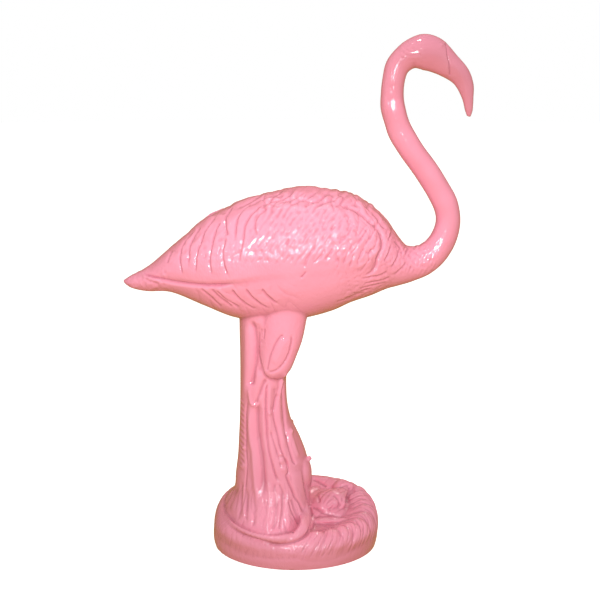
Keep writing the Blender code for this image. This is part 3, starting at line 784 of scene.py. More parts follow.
class Drawing:
    """Vertices as they are seen on the drawing, with the far side mirrored on the near one."""

    def __init__(self, points, normals, mirrored):
        side = np.where(points[:, 1] > 0, -1.0, 1.0) if mirrored else np.ones(len(points))
        near = np.stack([np.ones_like(side), side, np.ones_like(side)], axis=1)
        turned = normals * near
        off = points * near - np.array(CAMERA_PLACE)
        cos, sin = math.cos(CAMERA_PITCH), math.sin(CAMERA_PITCH)
        depth = off[:, 1] * cos - off[:, 2] * sin
        up = off[:, 1] * sin + off[:, 2] * cos
        scale = SHEET * LENS / SENSOR
        self.places = np.stack([
            SHEET / 2 + scale * off[:, 0] / depth,
            SHEET / 2 - scale * up / depth,
        ], axis=1)
        self.facing = smoothstep(*FACING, turned[:, 2] * sin - turned[:, 1] * cos)
        self.relief = np.zeros(len(points))

    def marks(self, rows, reach):
        """The vertices within reach of a line, their signed distance to it and share along it."""
        rows = np.asarray(rows, float)
        near = np.all((self.places > rows.min(0) - reach) & (self.places < rows.max(0) + reach), axis=1)
        chosen = np.flatnonzero(near & (self.facing > 0))
        distance, side, share = nearest(self.places[chosen], rows, LINE_PIECES)
        return chosen, distance * side, share

    def grid(self, angle, length, width):
        """Each vertex's place in lengths along an angle and in widths across it."""
        way = np.array([math.cos(angle), math.sin(angle)])
        return self.places @ way / length, self.places @ np.array([-way[1], way[0]]) / width

    def groove(self, rows, width, depth, ends=SOFT_ENDS):
        """A round-bottomed groove along a line, fading at both ends."""
        chosen, distance, share = self.marks(rows, 4 * width)
        fade = fading(share, ends) * self.facing[chosen]
        self.relief[chosen] -= depth * fade * dip(distance, width)

    def overlap(self, rows, width, height, over, ends=SOFT_ENDS, reach=STEP_REACH):
        """A feather's edge: one side of the line lies over the other and drops to it."""
        chosen, distance, share = self.marks(rows, 3 * reach * width)
        fade = fading(share, ends) * self.facing[chosen]
        rise = np.tanh(over * distance / (STEP_SOFTNESS * width)) * np.exp(-np.abs(distance) / (reach * width))
        cut = dip(distance + over * CUT_PLACE * width, CUT_WIDTH * width)
        self.relief[chosen] += height * fade * (STEP_SHARE * rise - CUT_SHARE * cut)

    def hatching(self, rows, width, spacing, depth):
        """Short slanting marks across a strip along a line."""
        chosen, distance, share = self.marks(rows, 2 * width)
        length = np.linalg.norm(np.subtract(rows[-1], rows[0]))
        wave = np.sin(2 * math.pi * (share * length + HATCH_SLANT * distance) / spacing)
        fade = self.facing[chosen] * dip(distance, width)
        fade *= smoothstep(0.0, FIRM_ENDS, share)
        fade *= smoothstep(0.0, FIRM_ENDS, 1.0 - share)
        self.relief[chosen] += depth * fade * wave

    def wrinkles(self, region, angle, length, width, depth, seed):
        """A net of creases with swellings between, longer along the angle than across it."""
        value = noise(np.stack(self.grid(angle, length, width), axis=1), 1.0, seed)
        self.relief += region * self.facing * depth * creased(value, WRINKLE)

    def lumps(self, region, angle, length, width, height, seed):
        """Soft lumps, longer along the angle than across it."""
        value = noise(np.stack(self.grid(angle, length, width), axis=1), 1.0, seed, waves=LUMP_WAVES)
        self.relief += region * self.facing * height * value

    def band(self, rows, half_width, height):
        """A flat raised band with firm edges along a line."""
        chosen, distance, share = self.marks(rows, 2 * half_width)
        first, last = BAND_ENDS
        fade = smoothstep(0.0, first, share) * (1.0 - smoothstep(1.0 - last, 1.0, share)) * self.facing[chosen]
        inner, outer = BAND_SIDES
        flat = 1.0 - smoothstep(inner * half_width, outer * half_width, np.abs(distance))
        self.relief[chosen] += height * fade * flat

    def bump(self, u, v, radius, height):
        """A round bump."""
        gap = np.linalg.norm(self.places - (u, v), axis=1)
        self.relief += height * self.facing * dip(gap, radius)

    def scales(self, region, angle, length, width, height, sway):
        """Rows of small overlapping feathers whose tips point along the angle."""
        along, across = self.grid(angle, length, width)
        along = along + FEATHER_SWAY * sway[:, 0]
        across = across + FEATHER_SWAY * sway[:, 1]
        row = np.floor(along)
        above = across - 0.5 * ((row - 1) % 2)
        above = 2 * (above - np.round(above))
        below = across - 0.5 * (row % 2)
        below = 2 * (below - np.round(below))
        covered = along - row < FEATHER_TIP - FEATHER_TIP * above**2
        reach = np.where(covered, along - row + 1.0, along - row)
        off = np.where(covered, above, below)
        rise = np.clip(reach / FEATHER_RISE, 0.0, 1.0) * (1.0 - FEATHER_FALL * off**2)
        self.relief += region * self.facing * height * (rise - FEATHER_LEVEL)


def drawn_ball(name, sides, rings, section):
    """A ball drawn out along a line: section turns shares of the way and angles into places."""
    nothing_selected()
    bpy.ops.mesh.primitive_uv_sphere_add(segments=sides, ring_count=rings, radius=1.0)
    thing = added(name)
    ball = read_points(thing.data)
    share = 1.0 - np.arccos(np.clip(ball[:, 2], -1.0, 1.0)) / math.pi
    write_points(thing.data, section(share, np.arctan2(ball[:, 1], ball[:, 0])))
    return thing


class Form:
    """The statue's solid form, worked out from the sizes in the panel."""

    def __init__(self, sizes):
        self.height = sizes.height
        self.half = np.array([sizes.mound_length / 2, sizes.mound_width / 2, sizes.mound_height])
        self.rise = MOUND_RISE * sizes.mound_width

    def bird(self, share, angle):
        """Places on the bird: its sections stand across a line that lies in the upright plane."""
        rows = np.asarray(BODY + NECK + HEAD) * self.height
        here = spline(rows, share)
        step = 0.004
        way = spline(rows, np.minimum(share + step, 1.0)) - spline(rows, np.maximum(share - step, 0.0))
        lean = smoothstep(len(BODY) - 2, len(BODY) + 2, share * (len(rows) - 1))[:, None]
        way = way[:, :2] / np.linalg.norm(way[:, :2], axis=1)[:, None]
        way = lean * way + (1.0 - lean) * np.array([1.0, 0.0])
        way /= np.linalg.norm(way, axis=1)[:, None]
        up = here[:, 2] * np.cos(angle)
        return np.stack([
            here[:, 0] - way[:, 1] * up,
            here[:, 3] * np.sin(angle),
            here[:, 1] + way[:, 0] * up,
        ], axis=1)

    def thigh(self, side):
        """Places on the thigh of one side: level ovals that shrink downwards."""
        def section(share, angle):
            here = spline(THIGH, share) * self.height
            return np.stack([
                here[:, 0] + here[:, 3] * np.cos(angle),
                side * here[:, 1] + here[:, 4] * np.sin(angle),
                here[:, 2],
            ], axis=1)
        return section

    def pillar_rows(self):
        """Rows of the whole pillar: up, along, half length and half width."""
        half = self.half
        skirt = [(up * half[2], along * half[0], length * half[0], width * half[1])
                 for up, along, length, width in SKIRT]
        return np.array(skirt + [tuple(self.height * share for share in row) for row in SHAFT])

    def pillar(self, share, angle):
        """Places on the pillar: level ovals, turned a little where they spread into the skirt."""
        here = spline(self.pillar_rows(), share)
        low, high = SKIRT_STRAIGHT
        turn = SKIRT_TURN * (1.0 - smoothstep(low * self.half[2], high * self.half[2], here[:, 0]))
        along = here[:, 2] * np.cos(angle)
        out = here[:, 3] * np.sin(angle)
        return np.stack([
            here[:, 1] + along * np.cos(turn) - out * np.sin(turn),
            along * np.sin(turn) + out * np.cos(turn),
            here[:, 0],
        ], axis=1)

    def mound(self, share, angle):
        """Places on the mound: its profile turned round, made oval and raised to the far side."""
        profile = spline(MOUND_PROFILE[::-1], share)
        reach, up = np.maximum(profile[:, 0], 0.0), profile[:, 1]
        crest = smoothstep(*MOUND_CREST_UP, up)
        power = 2 / (2 + (MOUND_SQUARENESS - 2) * crest)
        cos, sin = np.cos(angle), np.sin(angle)
        x = reach * np.sign(cos) * np.abs(cos) ** power * self.half[0]
        y = reach * np.sign(sin) * np.abs(sin) ** power * self.half[1]
        lift = self.rise * y / (2 * self.half[1])
        x = x - MOUND_LEAN * (1.0 - smoothstep(*MOUND_LEAN_UP, up))
        return np.stack([x, y, up * self.half[2] + lift * smoothstep(*MOUND_RISE_UP, up)], axis=1)

    def lip(self, turn, round_angle):
        """Places on the rolled lip round the skirt's edge."""
        up, along, half_length, half_width = LIP
        step_along = half_length * self.half[0] * np.cos(turn)
        step_out = half_width * self.half[1] * np.sin(turn)
        cos, sin = math.cos(SKIRT_TURN), math.sin(SKIRT_TURN)
        x = along * self.half[0] + step_along * cos - step_out * sin
        y = step_along * sin + step_out * cos
        z = up * self.half[2] - LIP_FALL * np.cos(turn)
        thick = LIP_THICK * (LIP_THIN + (1.0 - LIP_THIN) * smoothstep(*LIP_GROWS, np.cos(turn)))
        out = thick * np.cos(round_angle)
        return np.stack([
            x + out * np.cos(turn + SKIRT_TURN),
            y + out * np.sin(turn + SKIRT_TURN),
            z + thick * np.sin(round_angle),
        ], axis=1)


def add_lip(form):
    """The rolled lip, from a torus laid along its path."""
    nothing_selected()
    bpy.ops.mesh.primitive_torus_add(
        major_radius=1.0, minor_radius=0.25, major_segments=144, minor_segments=20)
    thing = added("lip")
    ring = read_points(thing.data)
    turn = np.arctan2(ring[:, 1], ring[:, 0])
    round_angle = np.arctan2(ring[:, 2], np.hypot(ring[:, 0], ring[:, 1]) - 1.0)
    write_points(thing.data, form.lip(turn, round_angle))
    return thing


def add_lobe(place, half, turns):
    """A lobe: a ball stretched to three half sizes and turned."""
    nothing_selected()
    bpy.ops.mesh.primitive_ico_sphere_add(
        subdivisions=5, radius=1.0, location=place, scale=half,
        rotation=(math.radians(turns[0]), 0.0, math.radians(turns[1])))
    return added("lobe")


def add_leaf(start, end, width, thickness, arch, roll):
    """A leaf: a flat ball drawn out from end to end, arched and folded along its middle."""
    start, way = np.array(start), np.subtract(end, start)
    side = np.cross((0.0, 0.0, 1.0), way)
    side /= np.linalg.norm(side)
    up = np.cross(way, side) / np.linalg.norm(way)
    roll = math.radians(roll)
    side, up = side * math.cos(roll) + up * math.sin(roll), up * math.cos(roll) - side * math.sin(roll)

    def section(share, angle):
        swell = np.sin(math.pi * share**LEAF_SWELLS[0]) ** LEAF_SWELLS[1]
        across = width / 2 * swell * np.sin(angle)
        over = thickness / 2 * swell * np.cos(angle) + 4 * arch * share * (1 - share)
        over = over - LEAF_FOLD * np.abs(across)
        return start + np.outer(share, way) + np.outer(across, side) + np.outer(over, up)

    return drawn_ball("leaf", 48, 48, section)


def strap_section(share, angle):
    """Places on the strap: a flat band that follows its rows."""
    rows = np.array(STRAP)
    here = spline(rows, share)
    step = 0.01
    way = spline(rows, np.minimum(share + step, 1.0)) - spline(rows, np.maximum(share - step, 0.0))
    way = way[:, :3] / np.linalg.norm(way[:, :3], axis=1)[:, None]
    side = np.cross(way, STRAP_FACES)
    side /= np.linalg.norm(side, axis=1)[:, None]
    over = np.cross(side, way)
    swell = here[:, 3] * np.sin(math.pi * np.clip(share, 0.0, 1.0)) ** STRAP_TAPER
    aside = swell * np.sin(angle)
    above = STRAP_THICKNESS * swell * np.cos(angle)
    return here[:, :3] + side * aside[:, None] + over * above[:, None]


def add_twig(form):
    """The broken twig on the knot."""
    nothing_selected()
    start, end = (Vector(row) * form.height for row in (TWIG_START, TWIG_END))
    way = end - start
    bpy.ops.mesh.primitive_cone_add(
        vertices=24, radius1=TWIG_RADIUS * TWIG_TAPER, radius2=TWIG_RADIUS, depth=way.length,
        location=(start + end) / 2, rotation=way.to_track_quat("Z", "Y").to_euler())
    return added("twig")


def add_forms(form):
    """All the plain forms that the statue is fused from."""
    knot_place, knot_half = ([share * form.height for share in row] for row in KNOT)
    things = [
        drawn_ball("bird", 96, 420, form.bird),
        drawn_ball("pillar", 160, 200, form.pillar),
        drawn_ball("thigh_near", 64, 64, form.thigh(-1)),
        drawn_ball("thigh_far", 64, 64, form.thigh(1)),
        drawn_ball("mound", 192, 160, form.mound),
        add_lip(form),
        add_twig(form),
        add_lobe(knot_place, knot_half, (0, 0)),
        drawn_ball("strap", 32, 120, strap_section),
        add_lobe(*LEAF_BED),
    ]
    return things + [add_leaf(*row) for row in LEAVES]


def apply_modifier(thing, name, kind, **settings):
    """Add a modifier, set it and apply it."""
    bpy.context.view_layer.objects.active = thing
    modifier = thing.modifiers.new(name, kind)
    for key, value in settings.items():
        setattr(modifier, key, value)
    bpy.ops.object.modifier_apply(modifier=modifier.name)


def fused(things, voxel):
    """One closed skin round all the forms."""
    nothing_selected()
    for thing in things:
        thing.select_set(True)
    bpy.context.view_layer.objects.active = things[0]
    bpy.ops.object.join()
    bpy.ops.object.transform_apply(location=True, rotation=True, scale=True)
    statue = bpy.context.object
    statue.name = "statue"
    apply_modifier(statue, "fuse", "REMESH", mode="VOXEL", voxel_size=voxel)
    apply_modifier(statue, "soften", "SMOOTH", factor=0.5, iterations=11)
    return statue


def wing_pad(form, side, drawing):
    """Lift the wing's pad over the body."""
    rows = np.array(WING_EDGE) * form.height
    best, sign, share = nearest(side, rows, PAD_PIECES)
    back = smoothstep(rows[-1][0], rows[0][0], side[:, 0])
    soft = smoothstep(*WING_SOFT_FROM, share) * (1.0 - smoothstep(*WING_SOFT_TO, share))
    firm = 1.0 - WING_SOFTNESS * soft * dip(best, WING_SOFT_REACH)
    drawing.relief += WING_LIFT * drawing.facing * back * firm * smoothstep(*WING_STEP, -best * sign)


def carve_bird(form, points, normals):
    """Carving of the bird: its wings, feathers, skin, bill and eye."""
    drawing = Drawing(points, normals, mirrored=True)
    u, v = drawing.places.T
    wing_pad(form, points[:, [0, 2]], drawing)
    for lines, width, height in FEATHER_EDGES:
        for rows in lines:
            drawing.overlap(rows, width, height, LEFT_OVER)
    for lines, width, depth, ends in BIRD_GROOVES:
        for rows in lines:
            drawing.groove(rows, width, depth, ends)
    drawing.overlap(*WING_BACK_STEP)
    drawing.overlap(*BILL_STEP)
    for across, down, radius, depth in NECK_FLATS:
        drawing.bump(across, down, radius, -depth)
    drawing.bump(*EYE)
    for edges, angle, length, width, depth in WRINKLED:
        region = soft_window(u, v, edges)
        drawing.wrinkles(region, math.radians(angle), length, width, depth, seed=int(edges[0]))
    for edges, angle, length, width, height in LUMPY:
        region = soft_window(u, v, edges)
        drawing.lumps(region, math.radians(angle), length, width, height, seed=int(edges[1]))
    sway = np.stack([noise(points, SWAY_SIZE, seed) for seed in SWAY_SEEDS], axis=1)
    low, high = NECK_WAVES_UP
    on_neck = smoothstep(low * form.height, high * form.height, points[:, 2])
    drawing.relief += NECK_WAVE_HEIGHT * on_neck * noise(points, NECK_WAVE_SIZE, NECK_WAVE_SEED)
    for edges, angle, length, width, height in SCALED:
        region = soft_window(u, v, edges)
        drawing.scales(region, math.radians(angle), length, width, height, sway)
    return drawing


def carve_pillar(_form, points, normals):
    """Carving of the pillar and thighs: folds, reeds, hatching, leaf, strap and knots."""
    drawing = Drawing(points, normals, mirrored=True)
    for width, depth, rows in PILLAR_FOLDS:
        drawing.groove(rows, width, depth)
    for width, depth, rows in PILLAR_LINES:
        drawing.groove(rows, width, depth, FIRM_ENDS)
    drawing.overlap(*THIGH_STEP)
    for lines, width, depth, ends in LEAF_GROOVES:
        for rows in lines:
            drawing.groove(rows, width, depth, ends)
    drawing.hatching(HATCH, *HATCH_CUT)
    drawing.band(STRAP_LINE, BAND_ON_PILLAR, BAND_HEIGHT)
    u, v = drawing.places.T
    for edges, angle, length, width, depth in PILLAR_WRINKLES:
        region = soft_window(u, v, edges)
        drawing.wrinkles(region, math.radians(angle), length, width, depth, seed=int(edges[0]))
    for across, down, radius in BUMPS:
        drawing.bump(across, down, radius, BUMP_HEIGHT)
    return drawing


def carve_mound(form, points, normals):
    """Carving of the mound: creased skin, grass strokes over its rim, the strap and the leaf cluster."""
    drawing = Drawing(points, normals, mirrored=False)
    u, v = drawing.places.T
    for edges, angle, length, width, depth in MOUND_WRINKLES:
        region = soft_window(u, v, edges)
        drawing.wrinkles(region, math.radians(angle), length, width, depth, seed=int(edges[0]))
    x = points[:, 0] / form.half[0]
    y = points[:, 1] / form.half[1]
    out = np.hypot(x, y)
    turn = np.arctan2(y, x)
    up = points[:, 2] / form.half[2]
    rim = smoothstep(*RIM_OUT, out) * smoothstep(*RIM_UP, up)
    grassy = smoothstep(*GRASS_FROM, turn) * (1 - smoothstep(*GRASS_TO, turn))
    grassy *= 1.0 - smoothstep(*BEHIND_LEAVES, turn) * (1.0 - smoothstep(*OUTER_WALL, out))
    grassy *= np.maximum(smoothstep(*GRASS_RIGHT_OF, u), smoothstep(*GRASS_BELOW, v))
    fall = out * form.half[0] - points[:, 2]
    path = np.stack([fall / TUFT_LENGTH, turn * form.half[0] / TUFT_WIDTH + fall / TUFT_LEAN], axis=1)
    tufts = noise(path, 1.0, TUFT_SEED)
    strokes = noise(path * [1.0, STROKE_FINENESS], 1.0, STROKE_SEED)
    sway = CREST_SWAY * noise(points, CREST_SWAY_SIZE, CREST_SEED)
    waves = np.sqrt(np.sin(CREST_WAVES * turn + sway + CREST_SLANT * fall) ** 2 + CREST_SOFTNESS)
    carving = CREST_HEIGHT * smoothstep(*CREST_UP, up) * (waves - CREST_LEVEL)
    carving = carving + TUFT_HEIGHT * (creased(tufts, TUFT) - TUFT_LEVEL) + STROKE_HEIGHT * strokes
    drawing.relief += rim * grassy * carving + BARE_STROKE_HEIGHT * rim * (1 - grassy) * strokes
    drawing.band(STRAP_LINE, BAND_ON_MOUND, BAND_HEIGHT)
    for lines, width, depth, ends in MOUND_GROOVES:
        for rows in lines:
            drawing.groove(rows, width, depth, ends)
    return drawing


def carve(form, mesh):
    """Move the skin along its normals by the relief of the region that each vertex lies in."""
    points, normals = read_points(mesh), read_normals(mesh)
    x, y, z = points.T
    cos, sin = math.cos(SKIRT_TURN), math.sin(SKIRT_TURN)
    place, half_length, half_width = SKIRT_OVAL
    off = x - place
    out = np.hypot((off * cos + y * sin) / half_length, (y * cos - off * sin) / half_width)
    on_bird = smoothstep(*(share * form.height for share in BIRD_UP), z)
    beside = smoothstep(*MOUND_OUT, out)
    beside *= 1.0 - smoothstep(*(share * form.half[2] for share in MOUND_UP), z)
    below = 1.0 - smoothstep(*(share * form.half[2] for share in MOUND_WALL_UP), z)
    on_mound = np.maximum(beside, below)
    shares = (on_bird, (1.0 - on_bird) * (1.0 - on_mound), on_mound)
    relief = np.zeros(len(points))
    for share, work in zip(shares, (carve_bird, carve_pillar, carve_mound)):
        chosen = np.flatnonzero(share > 0)
        drawing = work(form, points[chosen], normals[chosen])
        relief[chosen] += share[chosen] * drawing.relief
    write_points(mesh, points + normals * relief[:, None])


def mark_creases(mesh):
    """Store how far each vertex lies below the skin round it, as an attribute for the paint: painted shade in
    creases, painted highlight on crests and rougher creases.
    """
    points, normals = read_points(mesh), read_normals(mesh)
    edges = np.empty(len(mesh.edges) * 2, dtype=np.int32)
    mesh.edges.foreach_get("vertices", edges)
    edges = edges.reshape(-1, 2)
    ends = np.concatenate([edges[:, 0], edges[:, 1]])
    others = np.concatenate([edges[:, 1], edges[:, 0]])
    count = np.bincount(ends, minlength=len(points))
    smooth = points.copy()
    depth = np.zeros(len(points))
    for rounds, full in CREASE_SCALES:
        for _ in range(rounds):
            smooth = np.stack(
                [np.bincount(ends, smooth[others, axis], len(points)) / count for axis in range(3)], axis=1)
        depth += np.clip(np.sum((smooth - points) * normals, axis=1) / full, -CREASE_MOST, CREASE_MOST)
    store = mesh.attributes.new("crease", "FLOAT", "POINT")
    store.data.foreach_set("value", np.clip(depth, -1.0, 1.0).astype(np.float32))


def mark_grain(form, mesh):
    """Store how uneven the paint lies, as an attribute: most on the foot, least on the neck."""
    points = read_points(mesh)
    up = points[:, 2] / form.height
    along = points[:, 0] / form.height
    neck = smoothstep(*NECK_UP, up) * smoothstep(*NECK_ALONG, along)
    body = smoothstep(*BODY_UP, up) * (1.0 - neck)
    tail = 1.0 - smoothstep(*TAIL_ALONG, along)
    foot = 1.0 - smoothstep(*FOOT_UP, up)
    grain = NECK_GRAIN + body * (BODY_GRAIN + TAIL_GRAIN * tail) + FOOT_GRAIN * foot
    store = mesh.attributes.new("grain", "FLOAT", "POINT")
    store.data.foreach_set("value", grain.astype(np.float32))


def reduce(statue, triangles):
    """Bring the skin down to the number of triangles, keeping them where the carving is."""
    ratio = min(1.0, triangles / (2 * len(statue.data.polygons)))
    apply_modifier(statue, "fewer", "DECIMATE", ratio=ratio, use_collapse_triangulate=True)


def cut_flat(statue):
    """Cut the skin off level at the underside and close it."""
    nothing_selected()
    statue.select_set(True)
    bpy.context.view_layer.objects.active = statue
    bpy.ops.object.mode_set(mode="EDIT")
    bpy.ops.mesh.select_all(action="SELECT")
    bpy.ops.mesh.bisect(
        plane_co=(0, 0, 0), plane_no=(0, 0, 1), use_fill=True, clear_inner=True, threshold=0.00001)
    bpy.ops.mesh.select_all(action="SELECT")
    bpy.ops.mesh.quads_convert_to_tris()
    bpy.ops.mesh.normals_make_consistent(inside=False)
    bpy.ops.object.mode_set(mode="OBJECT")


class Socket:
    """A node's output with the operators of arithmetic, so that shader maths reads as Python."""

    def __init__(self, nodes, output):
        self.nodes, self.output = nodes, output

    def maths(self, operation, first, second):
        """A Math node on two numbers or sockets."""
        return self.nodes.node("ShaderNodeMath", {"operation": operation}, {0: first, 1: second})

    def __add__(self, other):
        return self.maths("ADD", self, other)

    def __radd__(self, other):
        return self.maths("ADD", other, self)

    def __sub__(self, other):
        return self.maths("SUBTRACT", self, other)

    def __rsub__(self, other):
        return self.maths("SUBTRACT", other, self)

    def __mul__(self, other):
        return self.maths("MULTIPLY", self, other)

    def __rmul__(self, other):
        return self.maths("MULTIPLY", other, self)


class Nodes:
    """A node tree under construction: adds nodes and hands out their outputs."""

    def __init__(self, tree):
        self.tree = tree

    def node(self, kind, settings=None, values=None, output=0):
        """A node of a type with its settings, and the values or links of its sockets."""
        node = self.tree.nodes.new(kind)
        for key, value in (settings or {}).items():
            setattr(node, key, value)
        for key, value in (values or {}).items():
            self.set(node, key, value)
        return Socket(self, node.outputs[output])

    def set(self, node, key, value):
        """Give a socket a value or a link."""
        if isinstance(value, Socket):
            self.tree.links.new(value.output, node.inputs[key])
        else:
            node.inputs[key].default_value = value

    def clipped(self, value):
        """A number held between 0 and 1."""
        return self.node("ShaderNodeClamp", values={"Value": value})

    def mixed(self, share, first, second):
        """A blend of two colours."""
        return self.node("ShaderNodeMix", {"data_type": "RGBA"}, {0: share, 6: first, 7: second}, output=2)


def new_material(name):
    """A material with its node builder and its shader node."""
    material = bpy.data.materials.new(name)
    material.use_nodes = True
    return material, Nodes(material.node_tree), material.node_tree.nodes["Principled BSDF"]


def glossy_pink(paint):
    """Bubble-gum pink gloss paint: darker in the creases as painted shade, paler on sharp crests as painted
    highlight, duller in the creases, with the skin's fine unevenness.
    """
    material, nodes, shader = new_material("pink_gloss")
    place = nodes.node("ShaderNodeTexCoord", output=3)
    depth = nodes.node("ShaderNodeAttribute", {"attribute_name": "crease"}, output=2)
    grain = nodes.node("ShaderNodeAttribute", {"attribute_name": "grain"}, output=2)
    streaks = nodes.node("ShaderNodeMapping", values={
        "Vector": place, "Rotation": (0.0, STREAK_LEAN, 0.0), "Scale": STREAK_SCALE})
    cloud = nodes.node("ShaderNodeTexNoise", values={"Vector": place, "Scale": CLOUD_SCALE, "Detail": 3.0})
    fine = nodes.node("ShaderNodeTexNoise", values={
        "Vector": streaks, "Scale": FINE_SCALE, "Detail": 3.0, "Roughness": 0.6})
    coarse = nodes.node("ShaderNodeTexNoise", values={"Vector": streaks, "Scale": COARSE_SCALE, "Detail": 2.0})
    crease = nodes.clipped(depth)
    crest = nodes.clipped(depth * -1.0)
    clouds = nodes.clipped((cloud - CLOUD_LEVEL) * CLOUD_RISE)
    clouded = nodes.mixed(clouds, (*paint.pink, 1.0), (*paint.cloud_colour, 1.0))
    # Paler on sharp crests: painted highlight.
    crest_highlighted = nodes.mixed(crest * paint.crest_highlight_strength, clouded, (*paint.crest_highlight_colour, 1.0))
    # Darker in the creases: painted shade.
    colour = nodes.mixed(crease * paint.crease_shade_strength, crest_highlighted, (*paint.crease_shade_colour, 1.0))
    height = (fine * FINE_SHARE + coarse * (1.0 - FINE_SHARE)) * grain
    bumps = nodes.node("ShaderNodeBump", values={
        "Strength": 1.0, "Distance": paint.unevenness, "Height": height})
    nodes.set(shader, "Base Color", colour)
    nodes.set(shader, "Roughness", PAINT_ROUGHNESS + crease * CREASE_ROUGHNESS)
    nodes.set(shader, "Normal", bumps)
    nodes.set(shader, "Coat Weight", paint.coat)
    nodes.set(shader, "Coat Roughness", paint.coat_roughness)
    return material


class StatueSizes(bpy.types.PropertyGroup):
    """Sizes of the statue."""

    height: bpy.props.FloatProperty(
        name="Height", description="From the underside to the crown", default=1.30, unit="LENGTH")
    mound_length: bpy.props.FloatProperty(
        name="Mound length", description="Length of the oval mound", default=0.428, unit="LENGTH")
    mound_width: bpy.props.FloatProperty(
        name="Mound width", description="Width of the oval mound", default=0.370, unit="LENGTH")
    mound_height: bpy.props.FloatProperty(
        name="Mound height", description="Height of the mound's crest", default=0.103, unit="LENGTH")
    voxel: bpy.props.FloatProperty(
        name="Grain", description="Size of the remeshed skin's faces", default=0.0022, unit="LENGTH")
    triangles: bpy.props.IntProperty(
        name="Triangles", description="Most triangles in the finished skin", default=194000)


class StatueFinish(bpy.types.PropertyGroup):
    """Colours and gloss of the paint, with painted shade in its creases and painted highlight on its crests."""

    pink: bpy.props.FloatVectorProperty(
        name="Pink", description="Colour of the paint", subtype="COLOR", size=3, default=(0.82, 0.300, 0.390))
    cloud_colour: bpy.props.FloatVectorProperty(
        name="Cloud", description="Colour of its faint clouds", subtype="COLOR", size=3,
        default=(0.79, 0.270, 0.355))
    # Painted shade in the creases: its colour and how strongly it darkens.
    crease_shade_colour: bpy.props.FloatVectorProperty(
        name="Crease", description="Colour in the creases", subtype="COLOR", size=3, default=(0.40, 0.10, 0.14))
    crease_shade_strength: bpy.props.FloatProperty(
        name="Crease strength", description="How much the creases darken", default=0.50)
    # Painted highlight on sharp crests: its colour and how strongly it lightens.
    crest_highlight_colour: bpy.props.FloatVectorProperty(
        name="Crest", description="Colour on sharp crests", subtype="COLOR", size=3, default=(0.88, 0.42, 0.50))
    crest_highlight_strength: bpy.props.FloatProperty(
        name="Crest strength", description="How much the crests lighten", default=0.10)
    unevenness: bpy.props.FloatProperty(
        name="Unevenness", description="Depth of the skin's unevenness", default=0.0018, unit="LENGTH")
    coat: bpy.props.FloatProperty(name="Coat", description="Weight of the clear coat", default=0.12)
    coat_roughness: bpy.props.FloatProperty(
        name="Coat roughness", description="Roughness of the clear coat", default=0.045)


class StudioSettings(bpy.types.PropertyGroup):
    """The floor, the lights and the camera."""

    floor_colour: bpy.props.FloatVectorProperty(
        name="Floor", description="Colour of the floor", subtype="COLOR", size=3, default=(0.9, 0.9, 0.9))
    floor_glow: bpy.props.FloatProperty(
        name="Floor glow", description="Light of the floor itself, as on a lit table", default=0.72)
    flash: bpy.props.FloatProperty(
        name="Flash", description="Power of the flash on the camera", default=285.0, unit="POWER")
    flash_cone: bpy.props.FloatProperty(
        name="Flash cone", description="Spread of the flash", default=math.radians(40), subtype="ANGLE")
    key: bpy.props.FloatProperty(
        name="Key", description="Power of the narrow light on the body", default=92.0, unit="POWER")
    key_cone: bpy.props.FloatProperty(
        name="Key cone", description="Spread of the narrow light", default=math.radians(23), subtype="ANGLE")
    ceiling: bpy.props.FloatProperty(
        name="Ceiling lamp", description="Power of the lamp overhead", default=60.0, unit="POWER")
    rim_lamp: bpy.props.FloatProperty(
        name="Rim lamp", description="Power of the lamp behind that lights the mound's rim", default=42.0,
        unit="POWER")
    rim_cone: bpy.props.FloatProperty(
        name="Rim cone", description="Spread of the rim lamp", default=math.radians(14), subtype="ANGLE")
    back_light: bpy.props.FloatProperty(
        name="Back light", description="Strength of the soft light from behind", default=1.0)
    above_colour: bpy.props.FloatVectorProperty(
        name="Above", description="Light from above", subtype="COLOR", size=3, default=(0.50, 0.48, 0.50))
    front_colour: bpy.props.FloatVectorProperty(
        name="Front", description="Light from the front", subtype="COLOR", size=3, default=(0.54, 0.52, 0.53))
    back_colour: bpy.props.FloatVectorProperty(
        name="Back", description="Light from behind", subtype="COLOR", size=3, default=(0.40, 0.20, 0.06))
    below_colour: bpy.props.FloatVectorProperty(
        name="Below", description="Light from below", subtype="COLOR", size=3, default=(0.48, 0.28, 0.06))


class STATUE_OT_cast(bpy.types.Operator):
    """Model the whole statue as one cast skin"""

    bl_idname = "statue.cast"
    bl_label = "Cast statue"

    def execute(self, context):
        """Fuse the forms, carve the skin and paint it."""
        sizes = context.scene.statue_sizes
        form = Form(sizes)
        statue = fused(add_forms(form), sizes.voxel)
        carve(form, statue.data)
        mark_creases(statue.data)
        mark_grain(form, statue.data)
        reduce(statue, sizes.triangles)
        cut_flat(statue)
        statue.data.materials.clear()
        statue.data.materials.append(glossy_pink(context.scene.statue_finish))
        statue.data.shade_smooth()
        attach(statue, "root")
        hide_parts(NODE)
        return {"FINISHED"}


def add_light(name, kind, power, place, aim, colour, size):
    """A lamp at a place, aimed at another, with its own size or spread."""
    nothing_selected()
    way = Vector(aim) - Vector(place)
    bpy.ops.object.light_add(type=kind, location=place, rotation=way.to_track_quat("-Z", "Y").to_euler())
    lamp = added(name)
    lamp.data.energy = power
    lamp.data.color = colour
    if kind == "SUN":
        lamp.data.angle = size
    else:
        lamp.data.shadow_soft_size = size
    return lamp


def add_spot(name, power, place, aim, colour, size, cone):
    """A spotlight that fades from its middle to the edge of its cone."""
    lamp = add_light(name, "SPOT", power, place, aim, colour, size)
    lamp.data.spot_size = cone
    lamp.data.spot_blend = 1.0


